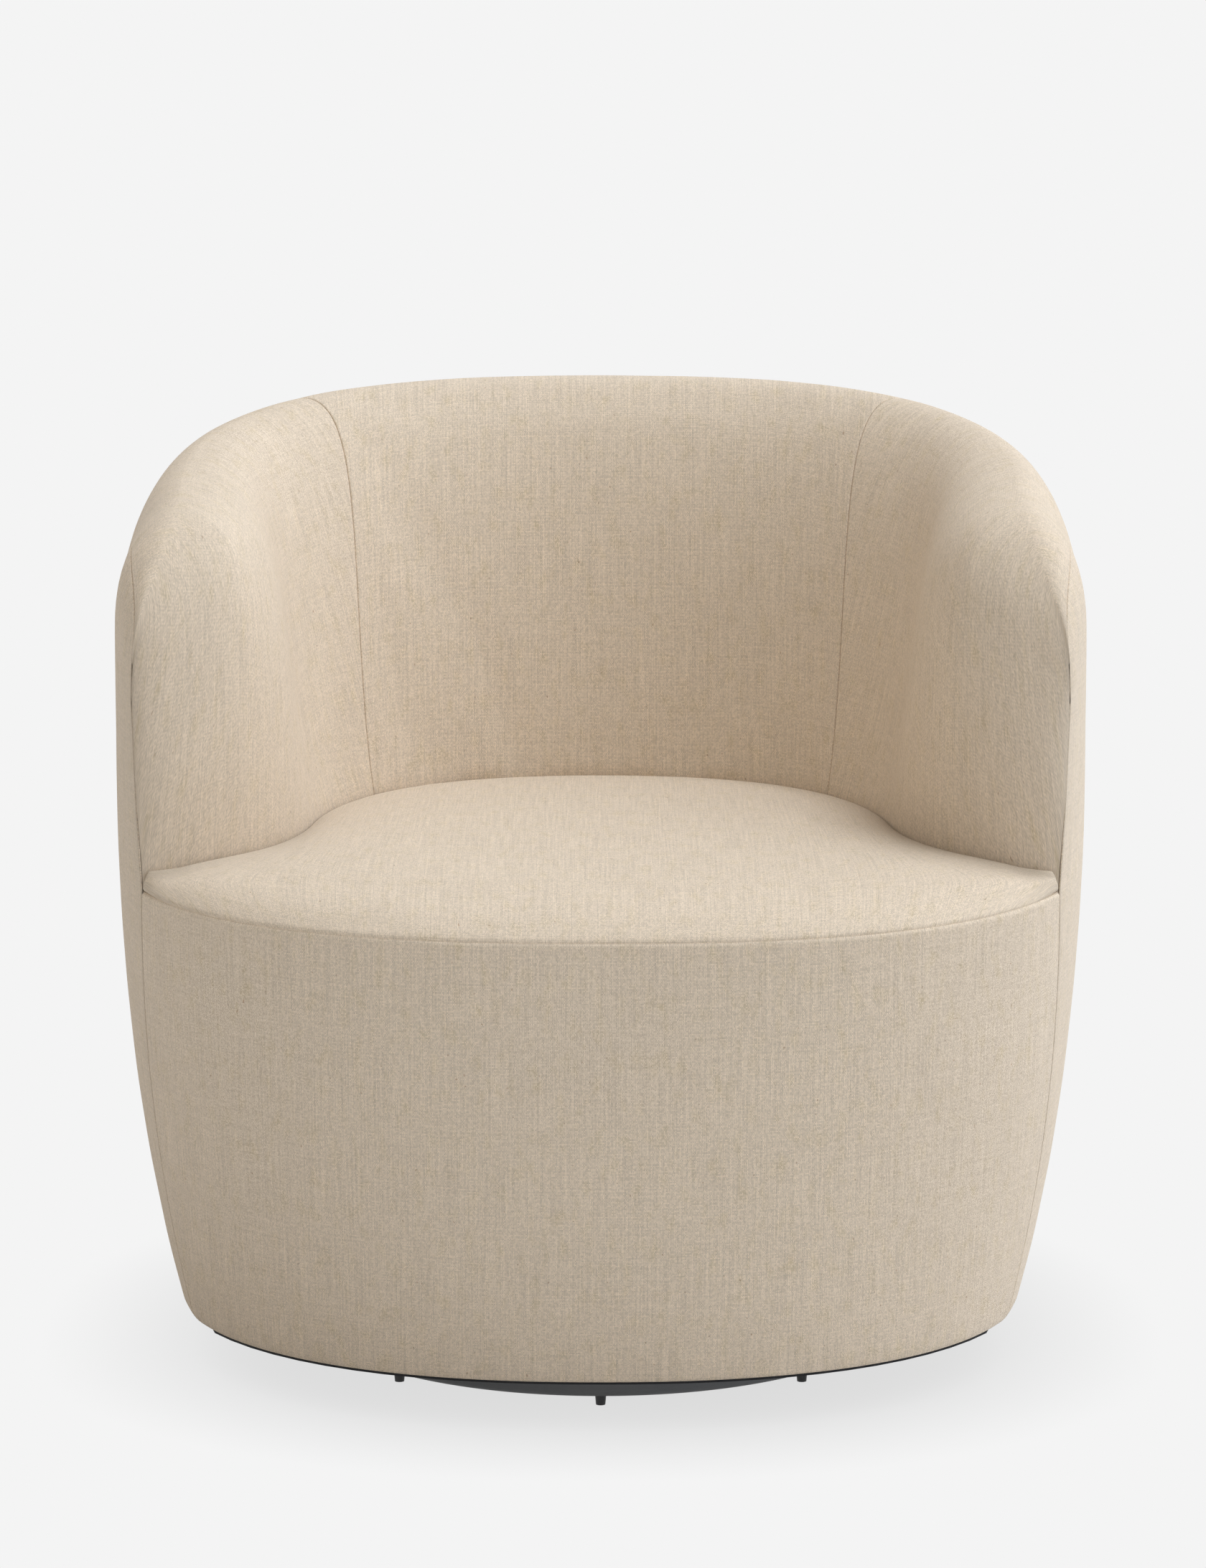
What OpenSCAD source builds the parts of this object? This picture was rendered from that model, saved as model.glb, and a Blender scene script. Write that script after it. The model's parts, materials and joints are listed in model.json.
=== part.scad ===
// Swivel barrel chair: an upholstered tub on a round base that turns.
// Millimetres, +Z up, the sitter faces -Y, and the origin is on the swivel axis at the floor.

/* [Tub] */
// Width of the tub at its widest line
body_w = 787; // [760:1:820]
// Height of the crest at the middle of the back
body_h = 749; // [730:1:780]
// Fall of the crest from the back to the front of the arms
crest_fall = 65; // [50:1:80]
// How far the bottom edge lies inside the widest line
bottom_in = 46.5; // [36:0.5:52]
// Height of the bottom edge above the floor
skirt_z = 43; // [43:1:50]
// Height of the widest line
belly_z = 500; // [480:1:520]
// Radius that the bottom edge of the side panels is rolled under
hem_r = 16; // [8:1:24]
// Gap left between neighbouring fabric panels
seam_gap = 0.6; // [0.4:0.1:1]

/* [Crest roll] */
// How far the crest lies inside the widest line
roll_w = 58; // [50:1:64]
// Height over which the outside curves in to the crest
roll_h = 118; // [100:1:130]
// How far the seam of the outside panels lies under the crest
seam_drop = 36; // [28:1:44]
// Reach of the crest's curve towards the seat
roll_reach = 62; // [50:1:74]

/* [Arm fronts] */
// How far the arm's bottom corner lies behind the tub's foremost line
arm_foot_back = 251.5; // [240:0.5:260]
// How far the arm's front edge lies behind that line at the seat
arm_seat_back = 198.5; // [190:0.5:206]
// How far the arm's top corner lies behind that line
arm_top_back = 211.5; // [202:0.5:220]
// Height where the arm's front edge starts to curve back
arm_corner_z = 556; // [540:1:570]
// Height that the arm's top corner is rounded off
arm_corner_drop = 98; // [80:1:110]

/* [Seat well] */
// Thickness of an arm beside the sitter's hips
arm_t = 158.5; // [154:0.5:168]
// How far in front of the axis that is measured
well_side_y = 28; // [20:1:35]
// Thickness of the back at the seat
back_t = 209.5; // [204:0.5:218]
// Height of the seat along the arms and the back
seat_z = 430; // [424:1:436]
// Rise of the seat's crown over its edges
seat_crown = 12; // [6:1:18]
// Distance over which the seat's front edge rounds over
seat_round = 25; // [18:1:32]
// Rounding of the seat pad at its two front corners
seat_corner_round = 4; // [3:0.5:8]
// Height of the seat's front seam
front_seam_z = 409; // [404:1:414]
// How far the front stays behind the tub's foremost line
front_back = 10.5; // [8:0.5:16]
// How far the front panel slopes in to its bottom edge
front_slope = 67; // [58:1:74]

/* [Padding] */
// Thickness of the padded outside panels
cover_t = 10; // [8:0.5:12]
// Thickness of the foam over the crest
crest_pad_t = 25; // [22:1:28]
// Thickness of the foam behind the seat's edge
seat_side_pad_t = 42; // [36:1:44]
// Depth of the seat's topper under the front seam
topper_depth = 11; // [9:0.5:14]
// Thickness of the seat's foam block
foam_t = 31; // [24:1:34]
// Thickness of the hessian deck over the springs
deck_t = 1; // [0.8:0.1:1.5]
// Thickness of the dust cover under the tub
dust_t = 2; // [1.5:0.1:2]

/* [Frame] */
// Thickness of the plywood ribs
rib_t = 18; // [15:1:21]
// Reach of a rib inwards from the widest line
rib_reach = 74; // [70:1:78]
// Reach of a front post inwards from the widest line
post_reach = 58; // [54:1:62]
// Space between the seat pad and the padding beside it
seat_side_gap = 1.4; // [0.6:0.1:2]
// Space between a rib and the padded outside panels
rib_play = 2; // [1.5:0.1:3]
// Least width of a rib
rib_w = 36; // [32:1:40]
// Width of the plywood rails that follow the tub
rail_w = 40; // [34:1:44]
// Height of the bottom rails
bottom_rail_h = 30; // [26:1:34]
// Thickness of the crest rails
top_rail_t = 18; // [15:1:20]
// Depth of the crest rails' top face under the crest
top_rail_drop = 44; // [42:1:48]
// Thickness of the boards round the seat
seat_rail_t = 22; // [20:1:25]
// Height of the boards round the seat
seat_rail_h = 70; // [60:1:76]
// Thickness of the board behind the front panel
front_board_t = 5; // [4:0.5:6]
// Distance of the seat's back board from the widest line
back_board_in = 163.5; // [160:0.5:165]
// Distance of the side boards from the widest line at the back
side_board_back_in = 141.5; // [138:0.5:146]
// Distance of the side boards from the widest line at the front
side_board_front_in = 71.5; // [68:0.5:76]
// How far the side boards end behind the tub's foremost line
side_board_short = 235.5; // [230:0.5:242]
// Distance of the cross rails from the axis
cross_rail_x = 95; // [90:1:96]
// Width of the cross rails
cross_rail_w = 60; // [54:1:64]

/* [Springs] */
// Number of zigzag springs under the seat
spring_count = 5; // [3:1:5]
// Distance between zigzag springs
spring_pitch = 82; // [70:1:84]
// Width of a zigzag spring
spring_w = 46; // [40:1:50]
// Distance between two bars of a zigzag spring
bar_pitch = 30; // [26:1:34]
// Diameter of the spring wire
wire_d = 3.8; // [3.2:0.2:4.2]
// Width of the webbing
web_w = 40; // [36:1:42]
// Thickness of the webbing
web_t = 1.6; // [1.2:0.1:2]

/* [Base] */
// Diameter of the base disc
disc_d = 480; // [474:1:500]
// Thickness of the base disc
disc_t = 22; // [20:1:22]
// Radius of the disc's edge
disc_edge_r = 7; // [4:0.5:9]
// Number of glides
glide_count = 8; // [6:1:10]
// Radius of the circle of glides
glide_ring_r = 229; // [222:1:230]
// Height of a glide
glide_h = 8; // [8:0.5:10]
// Diameter of a glide at the disc
glide_d = 9; // [8:0.5:11]
// Diameter of a glide at the floor
glide_tip_d = 7.6; // [7:0.2:9]
// Diameter of a glide's shank
shank_d = 4; // [3.5:0.1:5]
// Length of a glide's shank
shank_len = 12; // [10:0.5:14]

/* [Swivel] */
// Side of the square lower plate
lower_plate_w = 220; // [214:1:230]
// Side of the square upper plate
upper_plate_w = 220; // [214:1:230]
// Radius of the plates' corners
plate_corner_r = 14; // [10:1:18]
// Thickness of a plate
plate_t = 2.5; // [2.2:0.1:2.5]
// Radius of the ball circle
race_r = 80; // [76:1:84]
// Width of a raised race
race_w = 18; // [16:1:20]
// Height of a raised race
race_h = 1.5; // [1.3:0.1:1.5]
// Diameter of a ball
ball_d = 6; // [6:0.1:6.2]
// Number of balls
ball_count = 20; // [12:1:24]
// Free space between a ball and its groove
ball_play = 0.15; // [0.1:0.05:0.2]
// Thickness of the ball cage
cage_t = 1.2; // [1:0.1:1.4]
// Diameter of the centre pin
pin_d = 12; // [10:0.5:14]
// Running clearance of the centre pin in the upper plate
pin_play = 0.05; // [0.03:0.01:0.08]
// Diameter of the pin's lower head
pin_head_d = 26; // [22:1:30]
// Thickness of the pin's lower head
pin_head_t = 3; // [2.5:0.1:3.5]
// Outside diameter of the pin's washer
washer_d = 28; // [26:1:32]
// Thickness of the pin's washer
washer_t = 2; // [1.5:0.1:2.5]
// Width across the flats of the pin's nut
nut_af = 19; // [18:1:22]
// Height of the pin's nut
nut_h = 8; // [6:0.5:10]

/* [Fasteners] */
// Diameter of the plate bolts
bolt_d = 6; // [5:0.5:7]
// Diameter of a bolt's head
bolt_head_d = 13; // [12:0.5:14]
// Thickness of a bolt's head
bolt_head_t = 2.2; // [1.8:0.1:2.4]
// Diameter of a T-nut's flange
tee_flange_d = 20; // [18:1:22]
// Thickness of a T-nut's flange
tee_flange_t = 1.5; // [1:0.1:2]
// Outside diameter of a T-nut's barrel
tee_barrel_d = 8.4; // [8.2:0.1:9]
// Length of a T-nut's barrel
tee_barrel_h = 10; // [8:0.5:12]
// Distance of the disc screws from the axis, along each side
disc_screw_x = 98; // [96:1:99]
// Diameter of a disc screw
disc_screw_d = 4.5; // [4:0.1:5]
// Length of a disc screw under its head
disc_screw_len = 18; // [14:1:20]
// Diameter of a disc screw's head
disc_screw_head_d = 9; // [8:0.5:10]
// Thickness of a disc screw's head
disc_screw_head_t = 1.6; // [1.2:0.1:1.8]
// Diameter of the hole that reaches the plate bolts from below
access_d = 24; // [20:1:26]

/* [Hidden] */

$fn = 96;
// Play between parts that are screwed or glued together
fit_gap = 0.3;
// Play round the shank of a screw or bolt
hole_play = 0.2;
// Overrun of every cut
cut = 1;

// Exponents of the plan curve, of its front at the bottom edge, and of the side profile
half = body_w / 2;
arm_h = body_h - crest_fall;
arm_foot_y = half - arm_foot_back;
arm_seat_y = half - arm_seat_back;
arm_top_y = half - arm_top_back;
well_half_w = half - arm_t;
well_back_y = half - back_t;
front_top_y = half - front_back;
front_foot_y = front_top_y - front_slope;
seat_rail_back_y = half - back_board_in;
plan_power = 2.5;
front_foot_power = 2.27;
belly_power = 2.35;
// Share of the front panel's curve, and how softly the arm narrows to its front edge
arm_taper_power = 3;
arm_taper_softness = 0.8;
seam_taper_power = 8;
// How much of the hem is left at the arm's front edge, and how late it narrows
hem_front_share = 0.55;
hem_front_power = 6;
// Thickness left at the arm's front edge, as a share of the full padding
tip_share = 0.08;
// Depth of the arm's front edge and of the seam under the rounded corner
tip_edge = 1.2;
// Where the arm's padding starts to close onto its front seam
tip_start_share = 0.86;
tip_drop = 3;
// Where along the arm its top corner starts to round
corner_start_share = 0.45;
// Lean and reach of the padding where it rises from the seat
lean_share = 0.3;
lean_reach = 150;
wall_start_share = 0.45;
wall_end_share = 0.85;
wall_lift_share = 0.72;
shoulder_share = 0.62;
lean_head_gap = 10;
// Where the lower edge of the arm's padding starts to rise to the front seam, and where it arrives
pad_lift_share = 0.84;
pad_lift_end_share = 0.95;
// Handles of the well's plan curve
well_back_reach = 150;
well_side_reach = 125;
well_draft_share = 0.13;
nose_side_reach = 104;
nose_front_reach = 50;
well_split_share = 0.57;
// Seams between the inside back and the inside arms: at the crest, two handles, and at the seat
back_seam_shares = [0.376, 0.352, 0.31, 0.34];
seam_crest_share = back_seam_shares[0];
// Rows of the padding: under 0 outside the crest, 0 to 1 down to the seat, 2 at its lower edge
pad_row_shares = [-1, -0.6, -0.28, 0, 0.1, 0.2, 0.31, 0.42, 0.54, 0.67, 0.82, 1, 2];
// Rows of the outside panels from the bottom edge to the crest seam
cover_row_shares = [0, 0.015, 0.05, 0.2, 0.4, 0.6, 0.78, 0.87, 0.94, 1];
front_row_shares = [0, 0.045, 0.13, 0.32, 0.52, 0.75, 1];
seat_row_shares = [0, 0.03, 0.07, 0.12, 0.2, 0.35, 0.5, 0.65, 0.8, 0.9, 1];
pad_column_count = 20;
cover_column_count = 16;
front_column_count = 30;
band_column_count = 24;

// Heights of the base and the swivel
disc_top_z = glide_h + disc_t;
lower_plate_top_z = disc_top_z + plate_t;
upper_plate_top_z = skirt_z - dust_t;
upper_plate_z = upper_plate_top_z - plate_t;
race_mid_z = (lower_plate_top_z + upper_plate_z) / 2;
ball_half_gap = (upper_plate_z - lower_plate_top_z) / 2 - race_h;
groove_r = ball_d / 2 + ball_play;
plate_bolt_r = cross_rail_x * sqrt(2);
bottom_rail_top_z = skirt_z + bottom_rail_h;

// Heights of the seat
topper_z = front_seam_z - topper_depth;
foam_z = topper_z - fit_gap - foam_t;
deck_z = foam_z - fit_gap - deck_t;
clip_wall = 1.2;
spring_z = deck_z - 2 * fit_gap - clip_wall - wire_d / 2;
clip_w = 12;
clip_len = 20;
seat_rail_top_z = spring_z - wire_d / 2 - clip_wall - fit_gap;
seat_rail_z = seat_rail_top_z - seat_rail_h;

// Front of the seat's side boards, and their slant
side_board_front = [half - side_board_front_in, side_board_short - half];
side_board_back_x = half - side_board_back_in;
crest_back_y = half - roll_w;
crest_slope = (body_h - arm_h) / (crest_back_y + arm_top_y);

fabric = [0.84, 0.78, 0.69];
timber = [0.82, 0.66, 0.45];
steel = [0.62, 0.63, 0.65];
black = [0.13, 0.13, 0.14];
foam = [0.93, 0.89, 0.74];
hessian = [0.66, 0.55, 0.38];

function mix(a, b, k) = a + (b - a) * k;
function share(k) = max(0, min(1, k));
function curve(a, b, c, d, k) =
  a * pow(1 - k, 3) + b * 3 * k * pow(1 - k, 2) + c * 3 * k * k * (1 - k) + d * pow(k, 3);
function unit2(v) = v / norm(v);
function flip_x(p, side) = [for (i = [0:len(p) - 1]) i == 0 && side < 0 ? -p[0] : p[i]];
function back_to_front(list) = [for (i = [len(list) - 1:-1:0]) list[i]];

// Half width of the tub at a height, without and with the hem
function plain_half(z) = half - bottom_in * pow(max(0, (belly_z - z) / (belly_z - skirt_z)), belly_power);
function hem_in(z, t) =
  hem_r * mix(1, hem_front_share, pow(abs(t), hem_front_power)) * (1 - sqrt(1 - pow(share((skirt_z + hem_r - z) / hem_r), 2)));
function half_w(z, t = 0) = plain_half(z) - hem_in(z, t);

// A point of the plan curve: the angle runs from the back towards +X
function ring(angle, a, b, power) =
  let (r = pow(pow(abs(sin(angle)) / a, power) + pow(abs(cos(angle)) / b, power), -1 / power))
    [r * sin(angle), r * cos(angle)];
function ring_half(y, a, b, power) = a * pow(max(0, 1 - pow(min(1, abs(y) / b), power)), 1 / power);
function ring_normal(p) =
  unit2([sign(p[0]) * pow(abs(p[0]), plan_power - 1), sign(p[1]) * pow(abs(p[1]), plan_power - 1)]);

// Distance of the arm's front edge in front of the axis, at a height
function arm_front(z) = z <= front_seam_z
  ? mix(arm_foot_y, arm_seat_y, (z - skirt_z) / (front_seam_z - skirt_z))
  : mix(arm_seat_y, arm_top_y, share((z - front_seam_z) / (arm_corner_z - front_seam_z)));
function front_angle(z) =
  let (y = arm_front(z)) atan2(ring_half(y, plain_half(z), plain_half(z), plan_power), -y);

// Outside of the tub: t runs from 0 at the middle of the back to 1 at the arm's front edge
function outer2(t, z, inset = 0) =
  ring(t * front_angle(z), half_w(z, t) - inset, half_w(z, t) - inset, plan_power);

// Share of full padding at a station, from how near it is to the arm's front edge
function nearness(t) = max(0, -outer2(t, belly_z)[1]) / arm_front(belly_z);
function fullness(t) =
  mix(pow(max(0, 1 - pow(nearness(t), arm_taper_power)), arm_taper_softness), 1, tip_share);
function crest_in(t) = roll_w * fullness(t);
function crest_line(y) = body_h - crest_slope * (crest_back_y - min(y, crest_back_y));
function crest_z(t) =
  let (p = outer2(t, belly_z), y = p[1] - ring_normal(p)[1] * crest_in(t),
       k = share((nearness(t) - corner_start_share) / (1 - corner_start_share)))
    crest_line(y) - arm_corner_drop * (1 - sqrt(1 - k * k));
function seam_z(t) =
  crest_z(t) - seam_drop * sqrt(max(0, 1 - pow(nearness(t), seam_taper_power))) - tip_drop;

// Outside surface with the roll, and the same surface moved inwards
function roll_in(t, z, head = 0) =
  let (k = share((z - crest_z(t) + roll_h) / (roll_h - head)))
    crest_in(t) * (1 - sqrt(max(0, 1 - k * k)));
function outside(t, z, inset = 0) =
  let (p = outer2(abs(t), z, inset), n = ring_normal(outer2(abs(t), z)), q = p - n * roll_in(abs(t), z))
    flip_x([q[0], q[1], z], t);

// The well's plan curve at the seat, from the middle of the back to the arm's front edge
function well_tip() =
  [ring_half(arm_seat_y, plain_half(seat_z), plain_half(seat_z), plan_power) - tip_edge, -arm_seat_y];
function well2(t) = let (side = [well_half_w, -well_side_y]) t <= well_split_share
  ? curve([0, well_back_y], [well_back_reach, well_back_y],
          side + [-well_draft_share, 1] * well_side_reach, side, t / well_split_share)
  : curve(side, side + [well_draft_share, -1] * nose_side_reach,
          well_tip() - [nose_front_reach, 0], well_tip(),
          (t - well_split_share) / (1 - well_split_share));
// Unit vector from the well into the padding
probe_share = 0.004;
function well_out(t) =
  let (d = unit2(well2(min(1, t + probe_share)) - well2(max(0, t - probe_share)))) [-d[1], d[0]];

// Padding round the well: depth 0 is its face and 1 its back
function pad_t(v, t) = mix(crest_pad_t, seat_side_pad_t, share(v)) * fullness(t);
function pad_low_z(t) =
  mix(deck_z, front_seam_z + seam_gap, share((t - pad_lift_share) / (pad_lift_end_share - pad_lift_share)));
function pad_face(t, v, depth) = let (
    full = fullness(t), top = crest_z(t), n = ring_normal(outer2(t, belly_z)),
    head = depth * crest_pad_t * full, skin = depth * cover_t * full, back = depth * seat_side_pad_t * full,
    seam_k = asin(min(1, (seam_z(t) + seam_gap - top + roll_h) / (roll_h - head))),
    a = mix(90, seam_k, -v), z0 = top - roll_h + (roll_h - head) * sin(a),
    p0 = outer2(t, z0, skin) - n * (crest_in(t) - skin) * (1 - cos(a)),
    crest = let (p = outer2(t, top, skin) - n * (crest_in(t) - skin)) [p[0], p[1], top - head],
    w = well2(t) + well_out(t) * back, foot = [w[0], w[1], seat_z],
    turn = share((t - wall_start_share) / (wall_end_share - wall_start_share)),
    wide = turn * turn * (3 - 2 * turn), height = top - head - seat_z,
    reach = (roll_reach - head / 2) * full,
    across = [foot[0] - crest[0], foot[1] - crest[1], 0] * shoulder_share,
    shoulder = mix([-n[0], -n[1], 0] * reach, across, wide),
    lift = mix(min(lean_reach, height - lean_head_gap), wall_lift_share * height, wide),
    lean = well_out(t) * lean_share * lean_reach * full * (1 - wide))
  v < 0 ? [p0[0], p0[1], z0]
  : v <= 1 ? curve(crest, crest + shoulder, foot + [lean[0], lean[1], lift], foot, v)
  : [w[0], w[1], mix(seat_z, pad_low_z(t), v - 1)];
// Near the arm's front edge the padding closes onto the outside panel
function tip_shift(t, v) = v < 0 || t < tip_start_share ? [0, 0, 0]
  : let (p = pad_face(1, v, 0), q = outside(1, p[2]), n = ring_normal(outer2(1, belly_z)),
         k = pow(share((t - tip_start_share) / (1 - tip_start_share)), 2))
    [q[0] - p[0] - n[0] * tip_edge, q[1] - p[1] - n[1] * tip_edge, 0] * k;
function pad_point(t, v, depth) = flip_x(pad_face(abs(t), v, depth) + tip_shift(abs(t), v), t);
function back_seam(v) = curve(back_seam_shares[0], back_seam_shares[1], back_seam_shares[2], back_seam_shares[3], share(v));

// Front of the tub under the seat: q runs from -1 to 1 between the arms' front edges
function front_k(z) = (z - skirt_z) / (front_seam_z - skirt_z);
function front_b(z) = front_top_y - (front_top_y - front_foot_y) * pow((belly_z - z) / (belly_z - skirt_z), belly_power);
// Half width that makes the front meet the arm's front edge
function front_a(z) = ring_half(arm_front(z), half_w(z, 1), half_w(z, 1), plan_power)
  / ring_half(arm_front(z), 1, front_b(z), front_power(z));
function front_power(z) = mix(front_foot_power, plan_power, front_k(z));
function front_reach_angle(z) =
  atan2(ring_half(arm_front(z), front_a(z), front_b(z), front_power(z)), arm_front(z));
function front2(q, z, inset = 0) =
  let (p = ring(q * front_reach_angle(z), front_a(z) - inset, front_b(z) - inset, front_power(z)))
    [p[0], -p[1]];

// A solid between two grids of points, with its four edges closed
module quilt(front, back) {
  n = len(front);
  m = len(front[0]);
  lift = n * m;
  points = concat([for (row = front) each row], [for (row = back) each row]);
  cells = [for (i = [0:n - 2]) for (j = [0:m - 2])
    [i * m + j, i * m + j + 1, (i + 1) * m + j + 1, (i + 1) * m + j]];
  rim = concat(
    [for (i = [0:n - 2]) [(i + 1) * m, i * m]],
    [for (j = [0:m - 2]) [j, j + 1]],
    [for (i = [0:n - 2]) [i * m + m - 1, (i + 1) * m + m - 1]],
    [for (j = [m - 2:-1:0]) [(n - 1) * m + j + 1, (n - 1) * m + j]]);
  polyhedron(points, concat(
    [for (c = cells) each [[c[0], c[1], c[2]], [c[0], c[2], c[3]]]],
    [for (c = cells) each [[c[2] + lift, c[1] + lift, c[0] + lift], [c[3] + lift, c[2] + lift, c[0] + lift]]],
    [for (e = rim) each [[e[1], e[0], e[0] + lift], [e[1], e[0] + lift, e[1] + lift]]]));
}

// A flat band between two plan curves
module band(outer_line, inner_line, height) {
  linear_extrude(height) polygon(concat(outer_line, back_to_front(inner_line)));
}

module both_sides(side) { mirror([side < 0 ? 1 : 0, 0, 0]) children(); }

// Base

module rounded_disc(d, t, r) {
  rotate_extrude() {
    square([d / 2 - r, t]);
    translate([0, r]) square([d / 2, t - 2 * r]);
    for (y = [r, t - r]) translate([d / 2 - r, y]) circle(r = r);
  }
}

module at_glides() {
  for (i = [0:glide_count - 1]) rotate([0, 0, i * 360 / glide_count - 90]) translate([glide_ring_r, 0, 0]) children();
}

module at_square(x) { for (i = [-1, 1]) for (j = [-1, 1]) translate([i * x, j * x, 0]) children(); }

module base_disc() {
  color(black) difference() {
    translate([0, 0, glide_h]) rounded_disc(disc_d, disc_t, disc_edge_r);
    at_glides() translate([0, 0, glide_h - cut]) cylinder(h = shank_len + fit_gap + cut, d = shank_d + hole_play);
    at_square(disc_screw_x) translate([0, 0, disc_top_z - disc_screw_len])
      cylinder(h = disc_screw_len + cut, d = disc_screw_d + hole_play);
    translate([0, 0, disc_top_z - pin_head_t - fit_gap])
      cylinder(h = pin_head_t + fit_gap + cut, d = pin_head_d + 2 * fit_gap);
    translate([plate_bolt_r, 0, glide_h - cut]) cylinder(h = disc_t + 2 * cut, d = access_d);
  }
}

module glides() {
  color(black) at_glides() {
    cylinder(h = glide_h, d1 = glide_tip_d, d2 = glide_d);
    cylinder(h = glide_h + shank_len, d = shank_d);
  }
}

// Swivel

module plate(w, z) {
  r = plate_corner_r;
  translate([0, 0, z]) linear_extrude(plate_t) {
    square([w - 2 * r, w], center = true);
    square([w, w - 2 * r], center = true);
    at_square(w / 2 - r) circle(r = r);
  }
}

module race_cut() { rotate_extrude() translate([race_r, race_mid_z]) circle(r = groove_r); }

module lower_plate() {
  color(steel) difference() {
    union() {
      plate(lower_plate_w, disc_top_z);
      translate([0, 0, lower_plate_top_z]) cylinder(h = race_h, r = race_r + race_w / 2);
    }
    translate([0, 0, lower_plate_top_z]) cylinder(h = race_h + cut, r = race_r - race_w / 2);
    race_cut();
    translate([0, 0, disc_top_z - cut]) cylinder(h = plate_t + 2 * cut, d = pin_d + hole_play);
    at_square(disc_screw_x) translate([0, 0, disc_top_z - cut])
      cylinder(h = plate_t + 2 * cut, d = disc_screw_d + hole_play);
  }
}

module upper_plate() {
  color(steel) difference() {
    union() {
      plate(upper_plate_w, upper_plate_z);
      translate([0, 0, upper_plate_z - race_h]) cylinder(h = race_h, r = race_r + race_w / 2);
    }
    translate([0, 0, upper_plate_z - race_h - cut]) cylinder(h = race_h + cut, r = race_r - race_w / 2);
    race_cut();
    translate([0, 0, upper_plate_z - cut]) cylinder(h = plate_t + 2 * cut, d = pin_d + 2 * pin_play);
    at_square(cross_rail_x) translate([0, 0, upper_plate_z - cut])
      cylinder(h = plate_t + 2 * cut, d = bolt_d + hole_play);
  }
}

module disc_screws() {
  color(steel) at_square(disc_screw_x) {
    translate([0, 0, lower_plate_top_z]) cylinder(h = disc_screw_head_t, d = disc_screw_head_d);
    translate([0, 0, lower_plate_top_z - disc_screw_len]) cylinder(h = disc_screw_len, d = disc_screw_d);
  }
}

washer_z = upper_plate_top_z + fit_gap;
nut_z = washer_z + washer_t;

module centre_pin() {
  color(steel) {
    translate([0, 0, disc_top_z - pin_head_t]) cylinder(h = pin_head_t, d = pin_head_d);
    translate([0, 0, disc_top_z - pin_head_t]) cylinder(h = nut_z + nut_h - disc_top_z + pin_head_t, d = pin_d);
  }
}

module pin_washer() {
  color(steel) difference() {
    translate([0, 0, washer_z]) cylinder(h = washer_t, d = washer_d);
    translate([0, 0, washer_z - cut]) cylinder(h = washer_t + 2 * cut, d = pin_d + hole_play);
  }
}

module pin_nut() {
  color(steel) difference() {
    translate([0, 0, nut_z]) cylinder(h = nut_h, d = nut_af / cos(30), $fn = 6);
    translate([0, 0, nut_z - cut]) cylinder(h = nut_h + 2 * cut, d = pin_d + hole_play);
  }
}

module at_balls() {
  for (i = [0:ball_count - 1]) rotate([0, 0, i * 360 / ball_count]) translate([race_r, 0, race_mid_z]) children();
}

module ball_cage() {
  color(steel) difference() {
    translate([0, 0, race_mid_z - cage_t / 2]) difference() {
      cylinder(h = cage_t, r = race_r + race_w / 2);
      translate([0, 0, -cut]) cylinder(h = cage_t + 2 * cut, r = race_r - race_w / 2);
    }
    at_balls() cylinder(h = cage_t + 2 * cut, d = ball_d + 2 * ball_play, center = true);
  }
}

module bearing_balls() { color(steel) at_balls() sphere(d = ball_d); }

bolt_len = skirt_z + bottom_rail_h + tee_flange_t - upper_plate_z;

module plate_bolts() {
  color(steel) at_square(cross_rail_x) {
    translate([0, 0, upper_plate_z - bolt_head_t]) cylinder(h = bolt_head_t, d = bolt_head_d);
    translate([0, 0, upper_plate_z - bolt_head_t]) cylinder(h = bolt_len + bolt_head_t, d = bolt_d);
  }
}

module tee_nuts() {
  color(steel) at_square(cross_rail_x) difference() {
    union() {
      translate([0, 0, bottom_rail_top_z]) cylinder(h = tee_flange_t, d = tee_flange_d);
      translate([0, 0, bottom_rail_top_z - tee_barrel_h]) cylinder(h = tee_barrel_h, d = tee_barrel_d);
    }
    translate([0, 0, bottom_rail_top_z - tee_barrel_h - cut])
      cylinder(h = tee_barrel_h + tee_flange_t + 2 * cut, d = bolt_d + hole_play);
  }
}

// Frame

// Plan line of the bottom edge: the sides and back, then the front
function tub_line(from, to, inset, z = skirt_z) =
  [for (i = [0:band_column_count])
    let (t = mix(from, to, i / band_column_count), p = ring(abs(t) * front_angle(z), plain_half(z) - hem_r - inset,
         plain_half(z) - hem_r - inset, plan_power)) flip_x(p, t)];
// The front's plan line, cut short by a number of columns at both ends
function front_line(short, inset, z = skirt_z) =
  [for (i = [short:front_column_count - short]) front2(1 - 2 * i / front_column_count, z, inset)];

frame_in = cover_t + fit_gap;
crest_rail_in = frame_in + rib_play / 2 + crest_in(0) * (1 - sqrt(1 - pow((roll_h - top_rail_drop) / roll_h, 2)));
rail_split_share = 0.3;
rail_end_share = 0.99;
joint_share = fit_gap / body_w;

module dust_cover() {
  color(black) translate([0, 0, skirt_z - dust_t]) difference() {
    linear_extrude(dust_t) polygon(concat(tub_line(-1, 1, 0), front_line(board_short_count, 0)));
    translate([0, 0, -cut]) {
      cylinder(h = dust_t + 2 * cut, d = washer_d + 2 * washer_t);
      at_square(cross_rail_x) cylinder(h = dust_t + 2 * cut, d = bolt_d + hole_play);
    }
  }
}

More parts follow.
